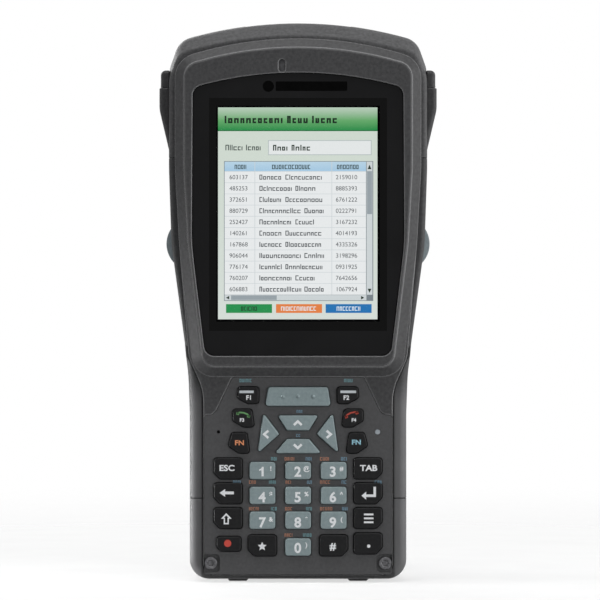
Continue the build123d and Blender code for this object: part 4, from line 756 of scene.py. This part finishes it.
# each key's ink and marks; a mark is one loop, or a loop and the hole in it
marks = {
    "key_f1": ("paleGrey", [[bar(-20.9, -15.8, 67.7, 68.6)]]),
    "key_f2": ("paleGrey", [[bar(15.1, 20.7, 67.7, 68.6)]]),
    "key_f3": ("green", [[loop] for loop in handset(-19.5, 60.2, -14)]),
    "key_f4": ("red", [[loop] for loop in handset(19.0, 60.2, 20)]),
    "key_left": ("white", [[strokeLoop([(-10.6, 54.3), (-12.1, 53.0), (-10.6, 51.7)], arrowWidth)]]),
    "key_up": ("white", [[strokeLoop([(-1.5, 56.3), (-0.1, 57.6), (1.3, 56.3)], arrowWidth)]]),
    "key_down": ("white", [[strokeLoop([(-1.5, 49.4), (-0.1, 48.1), (1.3, 49.4)], arrowWidth)]]),
    "key_right": ("white", [[strokeLoop([(10.2, 54.3), (11.7, 53.0), (10.2, 51.7)], arrowWidth)]]),
    "key_backspace": ("white", [[shape((-28.0, 32.1), (-26.0, 33.5), (-26.0, 32.6), (-22.9, 32.6),
                                       (-22.9, 31.6), (-26.0, 31.6), (-26.0, 30.7))]]),
    "key_enter": ("white", [[shape((22.6, 31.1), (24.3, 32.5), (24.3, 31.55), (26.9, 31.55), (26.9, 34.3),
                                   (27.8, 34.3), (27.8, 30.65), (24.3, 30.65), (24.3, 29.7))]]),
    "key_shift": ("white", [[shape((-25.6, 24.9), (-23.7, 22.9), (-24.7, 22.9), (-24.7, 20.9), (-26.5, 20.9),
                                   (-26.5, 22.9), (-27.5, 22.9)),
                             shape((-25.6, 24.1), (-24.7, 23.2), (-25.15, 23.3), (-25.15, 21.4),
                                   (-26.05, 21.4), (-26.05, 23.3), (-26.5, 23.2))]]),
    "key_menu": ("white", [[bar(23.5, 26.9, 24.1 - 1.4 * i, 24.75 - 1.4 * i)] for i in range(3)]),
    "key_power": ("powerRed", [[arcPoints(point(-25.1, 14.1), 1.3 * mm, 0, 350, 23)]]),
    "key_star": ("white", [[starShape()]]),
    "key_point": ("white", [[arcPoints(point(25.2, 13.1), 0.6 * mm, 0, 345, 15)]]),
}

legends = {
    "key_f1": [("F1", -17.5, 66.1, 1.5, "white")], "key_f2": [("F2", 17.2, 66.1, 1.5, "white")],
    "key_f3": [("F3", -20.0, 58.1, 1.2, "white")], "key_f4": [("F4", 19.9, 58.1, 1.2, "white")],
    "key_fn_left": [("FN", -20.9, 50.0, 1.65, "orange")],
    "key_fn_right": [("FN", 20.8, 50.2, 1.65, "paleBlue")],
    "key_esc": [("ESC", -25.4, 41.0, 2.0, "white")], "key_tab": [("TAB", 25.2, 41.0, 2.0, "white")],
    "key_hash": [("#", 12.4, 13.1, 2.5, "white")],
}
digitKeys = {"columns": (-12.8, -0.1, 12.4), "rows": (39.7, 30.6, 21.6, 12.5), "height": 3.4,
             "signs": ")!@#$%^&*(", "signX": 3.1, "signZ": 1.1, "signHeight": 1.5,
             "one": ((-0.25, -1.7), (0.55, -1.7), (0.55, 1.7), (-0.05, 1.7), (-0.4, 1.1), (-1.05, 0.8),
                     (-1.05, 0.2), (-0.25, 0.55))}
for number, sign in enumerate(digitKeys["signs"]):
    row, column = divmod(number - 1, 3) if number else (3, 1)
    x, z = digitKeys["columns"][column], digitKeys["rows"][row]
    digit = (str(number), x, z, digitKeys["height"], "white")
    small = (sign, x + digitKeys["signX"], z + digitKeys["signZ"], digitKeys["signHeight"], "white")
    legends[f"key_{number}"] = [digit, small]
    if number == 1:
        # a one with a flag, drawn from listed corners
        legends["key_1"] = [small]
        marks["key_1"] = ("white", [[shape(*[(x + dx, z + dz) for dx, dz in digitKeys["one"]])]])


def makeLegends():
    frontY = keyFace - prints["proud"]
    for key in sorted(set(marks) | set(legends)):
        ink, loopSets = marks.get(key, ("white", []))
        pieces = [flatShape("mark", loops, frontY, prints["depth"], inks[ink]) for loops in loopSets]
        for text, x, z, height, ink in legends.get(key, []):
            weight = boldness["large" if height > boldness["limit"] else "small"] * height * mm
            stretch = boldness["letterStretch"] if text.isalpha() else 1.0
            pieces.append(words("letters", text, x * mm, z * mm, height * mm, inks[ink], frontY, weight,
                                stretch))
        piece = joined(pieces, key.replace("key_", "legend_"))
        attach(piece, key)


makeLegends()
print("lettering on the keys")

plateFace = -17.6 * mm
plateStem = 0.2
platePrints = (
    # row in the front view, height in mm, then start, end and ink of each little word
    (380.4, 1.2, ((239.5, 252.0, "teal"), (344.0, 353.5, "teal"))),
    (411.3, 1.0, ((296.5, 303.0, "dullBlue"),)),
    (435.4, 1.0, ((296.2, 300.2, "dullBlue"),)),
    (458.7, 1.2, ((271.0, 277.0, "teal"), (284.5, 295.0, "dullOrange"), (305.6, 312.0, "dullBlue"),
                  (320.0, 329.0, "dullOrange"), (341.0, 348.0, "dullBlue"))),
    (482.0, 1.2, ((233.0, 241.8, "dullBlue"), (249.0, 256.0, "dullOrange"), (269.0, 276.0, "teal"),
                  (285.5, 292.0, "dullOrange"), (307.0, 312.4, "dullBlue"), (320.0, 330.0, "dullOrange"),
                  (341.5, 347.0, "dullBlue"), (374.7, 382.5, "dullBlue"))),
    (508.6, 1.2, ((249.0, 260.0, "dullOrange"), (271.0, 277.0, "teal"), (285.0, 293.0, "dullOrange"),
                  (306.0, 312.5, "teal"), (320.0, 333.0, "dullOrange"), (342.0, 347.6, "dullBlue"))),
    (535.0, 1.2, ((284.5, 293.4, "dullOrange"), (303.0, 312.0, "teal"))),
)


def makePlatePrints():
    draw = random.Random(3)
    byInk = {}
    for row, height, spans in platePrints:
        height = height * mm
        for start, end, ink in spans:
            (x0, z), (x1, z) = [atDepth(px, row, plateFace) for px in (start, end)]
            loops = letterShapes(x0, x1, z - height / 2, height, draw, False, plateStem)
            byInk.setdefault(ink, []).extend(loops)
    frontY = plateFace - prints["proud"]
    pieces = [flatShape("print", loops, frontY, prints["depth"], inks[ink]) for ink, loops in byInk.items()]
    piece = joined(pieces, "platePrints")
    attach(piece, root)


makePlatePrints()
print("prints on the plate")


# repeated details, grown with geometry nodes
def newTree(name, inputs):
    tree = bpy.data.node_groups.new(name, "GeometryNodeTree")
    tree.interface.new_socket(name="Geometry", in_out="OUTPUT", socket_type="NodeSocketGeometry")
    for label, kind in inputs.items():
        tree.interface.new_socket(name=label, in_out="INPUT", socket_type="NodeSocket" + kind)
    return tree, add(tree, "NodeGroupInput").outputs, add(tree, "NodeGroupOutput")


def finishTree(tree, given, end, instance):
    # Count copies of the instance from First, each one Step further on, in Material
    line = add(tree, "GeometryNodeMeshLine", {"mode": "OFFSET"}, Count=given["Count"],
               Start_Location=given["First"], Offset=given["Step"])
    placed = add(tree, "GeometryNodeInstanceOnPoints", Points=line.outputs["Mesh"], Instance=instance)
    real = add(tree, "GeometryNodeRealizeInstances", Geometry=placed.outputs["Instances"])
    paint = add(tree, "GeometryNodeSetMaterial", Geometry=real.outputs["Geometry"],
                Material=given["Material"])
    feed(tree, end, Geometry=paint.outputs["Geometry"])
    return tree


def makeRodTree():
    # a row of round-section bars, each lying along Along
    tree, given, end = newTree("rodRow", {"Count": "Int", "First": "Vector", "Step": "Vector",
                                          "Along": "Vector", "Radius": "Float", "Material": "Material"})
    halves = [add(tree, "ShaderNodeVectorMath", {"operation": "SCALE"}, Vector=given["Along"], Scale=share)
              for share in (-0.5, 0.5)]
    spine = add(tree, "GeometryNodeCurvePrimitiveLine", Start=halves[0].outputs[0], End=halves[1].outputs[0])
    ring = add(tree, "GeometryNodeCurvePrimitiveCircle", Resolution=12, Radius=given["Radius"])
    rod = add(tree, "GeometryNodeCurveToMesh", Curve=spine.outputs["Curve"],
              Profile_Curve=ring.outputs["Curve"], Fill_Caps=True)
    return finishTree(tree, given, end, rod.outputs["Mesh"])


def makeCopyTree():
    # a row of copies of one shape
    tree, given, end = newTree("copyRow", {"Count": "Int", "First": "Vector", "Step": "Vector",
                                           "Shape": "Object", "Material": "Material"})
    copied = add(tree, "GeometryNodeObjectInfo", Object=given["Shape"])
    return finishTree(tree, given, end, copied.outputs["Geometry"])


def grow(name, tree, values):
    host = newPiece(name, bpy.data.meshes.new(name))
    modifier = host.modifiers.new("grow", "NODES")
    modifier.node_group = tree
    for item in tree.interface.items_tree:
        if item.in_out == "INPUT":
            modifier[item.identifier] = values[item.name]
    return smooth(keptAs(name, host, values["Material"]))


rodTree = makeRodTree()
copyTree = makeCopyTree()

ridgeSizes = {"count": 4, "pitch": 1.5 * mm, "length": 6.6 * mm, "radius": 0.4 * mm, "fromTop": 2.2 * mm,
              "proud": 0.3}  # proud is a share of the radius
contactSizes = {"count": 10, "pitch": 2.2 * mm, "length": 5.0 * mm, "radius": 0.3 * mm, "fromTop": 2.1 * mm}
screwSizes = {"count": 2, "headRadius": 2.35 * mm, "head": 1.3 * mm, "bevel": 0.4 * mm, "bevelSteps": 4,
              "drive": 1.15 * mm, "lobes": 6, "lobeShare": 0.14, "driveDip": 0.9 * mm, "shank": 1.2 * mm,
              "shankBevel": 0.3 * mm, "corners": 48,
              "shankFrom": 0.9, "plugShare": 1.3}  # shares of the head's depth and of the drive


def makeLatchRidges():
    # finger ridges on the two sliding latches
    for node, body in (("lid_latch_left", "latch_left"), ("lid_latch_right", "latch_right")):
        low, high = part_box(node)
        firstZ = high.z - ridgeSizes["fromTop"] - (ridgeSizes["count"] - 1) * ridgeSizes["pitch"]
        faceY = high.y - ridgeSizes["radius"] * ridgeSizes["proud"]
        ridges = grow("ridges_" + body, rodTree, {
            "Count": ridgeSizes["count"], "First": ((low.x + high.x) / 2, faceY, firstZ),
            "Step": (0, 0, ridgeSizes["pitch"]), "Along": (ridgeSizes["length"], 0, 0),
            "Radius": ridgeSizes["radius"], "Material": made["latchPlastic"]})
        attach(ridges, body)


def makeDockContacts():
    count, pitch = contactSizes["count"], contactSizes["pitch"]
    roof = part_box("dock_connector")[1].z - contactSizes["fromTop"]
    contacts = grow("dockContacts", rodTree, {
        "Count": count, "First": (-(count - 1) / 2 * pitch, 0, roof), "Step": (pitch, 0, 0),
        "Along": (0, contactSizes["length"], 0), "Radius": contactSizes["radius"],
        "Material": made["contactGold"]})
    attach(contacts, root)


def makeKeypadScrews():
    # pan heads with a six-lobed drive
    low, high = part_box("keypad_screws")
    head, drive, dip = screwSizes["head"], screwSizes["drive"], screwSizes["driveDip"]
    corners, middle = screwSizes["corners"], (0, 0)
    lobes = []
    for x, z in disc(middle, drive, corners):
        wave = math.cos(screwSizes["lobes"] * math.atan2(z, x))
        reach = 1 - screwSizes["lobeShare"] * (1 - wave)
        lobes.append((x * reach, z * reach))
    neck = head * screwSizes["shankFrom"]
    shaped = joined([
        flatShape("head", [disc(middle, screwSizes["headRadius"], corners), lobes], low.y, head,
                  bevel=screwSizes["bevel"], steps=screwSizes["bevelSteps"]),
        flatShape("plug", [disc(middle, drive * screwSizes["plugShare"], corners // 2)], low.y + dip,
                  head - dip),
        flatShape("shank", [disc(middle, screwSizes["shank"], corners // 2)], low.y + neck,
                  high.y - low.y - neck, bevel=screwSizes["shankBevel"]),
    ], "screwShape")
    firstX, z = low.x + (high.z - low.z) / 2, (low.z + high.z) / 2
    screws = grow("keypadScrews", copyTree, {
        "Count": screwSizes["count"], "First": (firstX, 0, z), "Step": (-2 * firstX, 0, 0), "Shape": shaped,
        "Material": made["screwDark"]})
    discard(shaped)
    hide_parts("keypad_screws")
    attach(screws, root)


# bare labels on the lid and on the battery, and arrowheads by the latches; left, right, foot and head in mm
labelSizes = {"depth": 0.06 * mm, "sunk": 0.02 * mm, "bevel": 0.015 * mm, "lidBack": 13.0 * mm,
              "lid": (-17, 17, 86, 96), "lidCorner": 1.2, "pack": (-21, 21, 34, 76), "packCorner": 1.5,
              "arrowX": (-18, 18), "arrowHalf": 1.6, "arrowFoot": 23.6, "arrowTip": 26.0, "poleCorner": 0.05,
              "poles": ((-8.0, -5.0, 88.3, 88.9), (5.0, 8.0, 88.3, 88.9), (6.2, 6.8, 89.05, 90.1),
                        (6.2, 6.8, 87.1, 88.15))}


def makeLabel(name, edges, corner, frontY, material):
    outline = roundedBox(*[edge * mm for edge in edges], corner * mm)
    return flatShape(name, [outline], frontY, labelSizes["depth"], material, labelSizes["bevel"])


def makeLidMarks():
    frontY = labelSizes["lidBack"] - labelSizes["sunk"]
    half, foot, tip = labelSizes["arrowHalf"], labelSizes["arrowFoot"], labelSizes["arrowTip"]
    pieces = [makeLabel("lidLabel", labelSizes["lid"], labelSizes["lidCorner"], frontY, made["labelDark"])]
    for x in labelSizes["arrowX"]:
        arrow = shape((x - half, foot), (x + half, foot), (x, tip))
        pieces.append(flatShape("arrow", [arrow], frontY, labelSizes["depth"], inks["dullGrey"]))
    lidMarks = joined(pieces, "lidMarks")
    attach(lidMarks, "battery_lid")


def makePackMarks():
    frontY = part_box("battery_pack")[1].y - labelSizes["sunk"]
    pale = makeLabel("packLabel", labelSizes["pack"], labelSizes["packCorner"], frontY, made["labelPale"])
    signs = [bar(*pole, labelSizes["poleCorner"]) for pole in labelSizes["poles"]]
    poles = flatShape("poles", signs, frontY, labelSizes["depth"], inks["paleGrey"])
    packMarks = joined([pale, poles], "packMarks")
    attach(packMarks, root)


makeLatchRidges()
makeDockContacts()
makeKeypadScrews()
makeLidMarks()
makePackMarks()
print("ridges, contacts, screws and labels")

floorSizes = {"radius": 0.7, "clearFrom": 0.62, "solidTo": 0.16, "strength": 0.35}
worldStrength = 0.16
lamps = {
    "leftLamp": dict(power=1.0, size=(0.4, 0.4), place=(-0.78, -0.3, 0.0), target=(0, 0, 0.03)),
    # a gridded softbox, for the keypad grip alone
    "gripLamp": dict(power=0.1, size=(0.1, 0.1), place=(-0.5, 0.0, 0.06), target=(-0.03, 0, 0.01),
                     spread=24),
    "rightLamp": dict(power=7.0, size=(0.4, 1.1), place=(1.0, -0.15, 0.25), target=(0, 0, 0.1)),
    "frontLamp": dict(power=5.2, size=(0.6, 0.6), place=(0.85, -1.0, 0.12), target=(0, 0, 0.07)),
    "topLamp": dict(power=7.8, size=(0.9, 0.5), place=(-0.1, -0.25, 1.1), target=(0, 0, 0.1)),
    "backLamp": dict(power=7.0, size=(0.9, 0.7), place=(-0.5, 1.2, 0.6), target=(0, 0, 0.1)),
}


def makeFloor():
    # a round pale floor that thins out into the white surround
    material = makeEven("paleFloor", grey(0.88), grey(0.92), 0.9, 30.0, Specular_IOR_Level=0.1)
    tree = material.node_tree
    reach = add(tree, "ShaderNodeVectorMath", {"operation": "LENGTH"}, Vector=ownPlace(tree))
    thin = between(tree, reach.outputs["Value"], floorSizes["strength"], 0.0, floorSizes["solidTo"],
                   floorSizes["clearFrom"], "SMOOTHSTEP")
    feed(tree, tree.nodes["Principled BSDF"], Alpha=thin)
    bm = bmesh.new()
    bm.faces.new([bm.verts.new((x, y, 0.0)) for x, y in disc((0, 0), floorSizes["radius"], 144)])
    pieceFrom(bm, "floor", material)


def makeLamp(name, power, size, place, target, spread=180):
    lamp = bpy.data.lights.new(name, "AREA")
    lamp.energy = power
    lamp.shape = "RECTANGLE"
    lamp.size, lamp.size_y = size
    lamp.spread = math.radians(spread)
    holder = newPiece(name, lamp)
    holder.location = place
    holder.rotation_euler = (Vector(target) - Vector(place)).to_track_quat("-Z", "Y").to_euler()


def makeWorld():
    # a soft cool surround for the light, and plain white where it is seen, mirrored or looked through to
    world = bpy.data.worlds.new("studio")
    bpy.context.scene.world = world
    world.use_nodes = True
    tree = world.node_tree
    surround = tree.nodes["Background"]
    feed(tree, surround, Color=(0.95, 0.97, 1.0, 1), Strength=worldStrength)
    white = add(tree, "ShaderNodeBackground", Color=grey(1.0), Strength=1.0)
    rays = add(tree, "ShaderNodeLightPath").outputs
    seen = reckon(tree, "MAXIMUM", rays["Is Camera Ray"], rays["Is Glossy Ray"])
    mix = add(tree, "ShaderNodeMixShader", Fac=reckon(tree, "MAXIMUM", seen, rays["Is Transmission Ray"]))
    plug(tree, mix.inputs[1], surround.outputs[0])
    plug(tree, mix.inputs[2], white.outputs[0])
    feed(tree, tree.nodes["World Output"], Surface=mix.outputs[0])


def makeCamera():
    camera = bpy.data.cameras.new("camera")
    camera.lens = view["lens"]
    camera.sensor_width = view["sensor"]
    holder = newPiece("camera", camera)
    holder.location = (view["x"], view["faceY"] - view["distance"], view["z"])
    holder.rotation_euler = (math.radians(90), 0, 0)
    bpy.context.scene.camera = holder


makeFloor()
for name, values in lamps.items():
    makeLamp(name, **values)
makeWorld()
makeCamera()
bpy.context.scene.view_settings.view_transform = "Standard"
print("floor, lamps and camera")
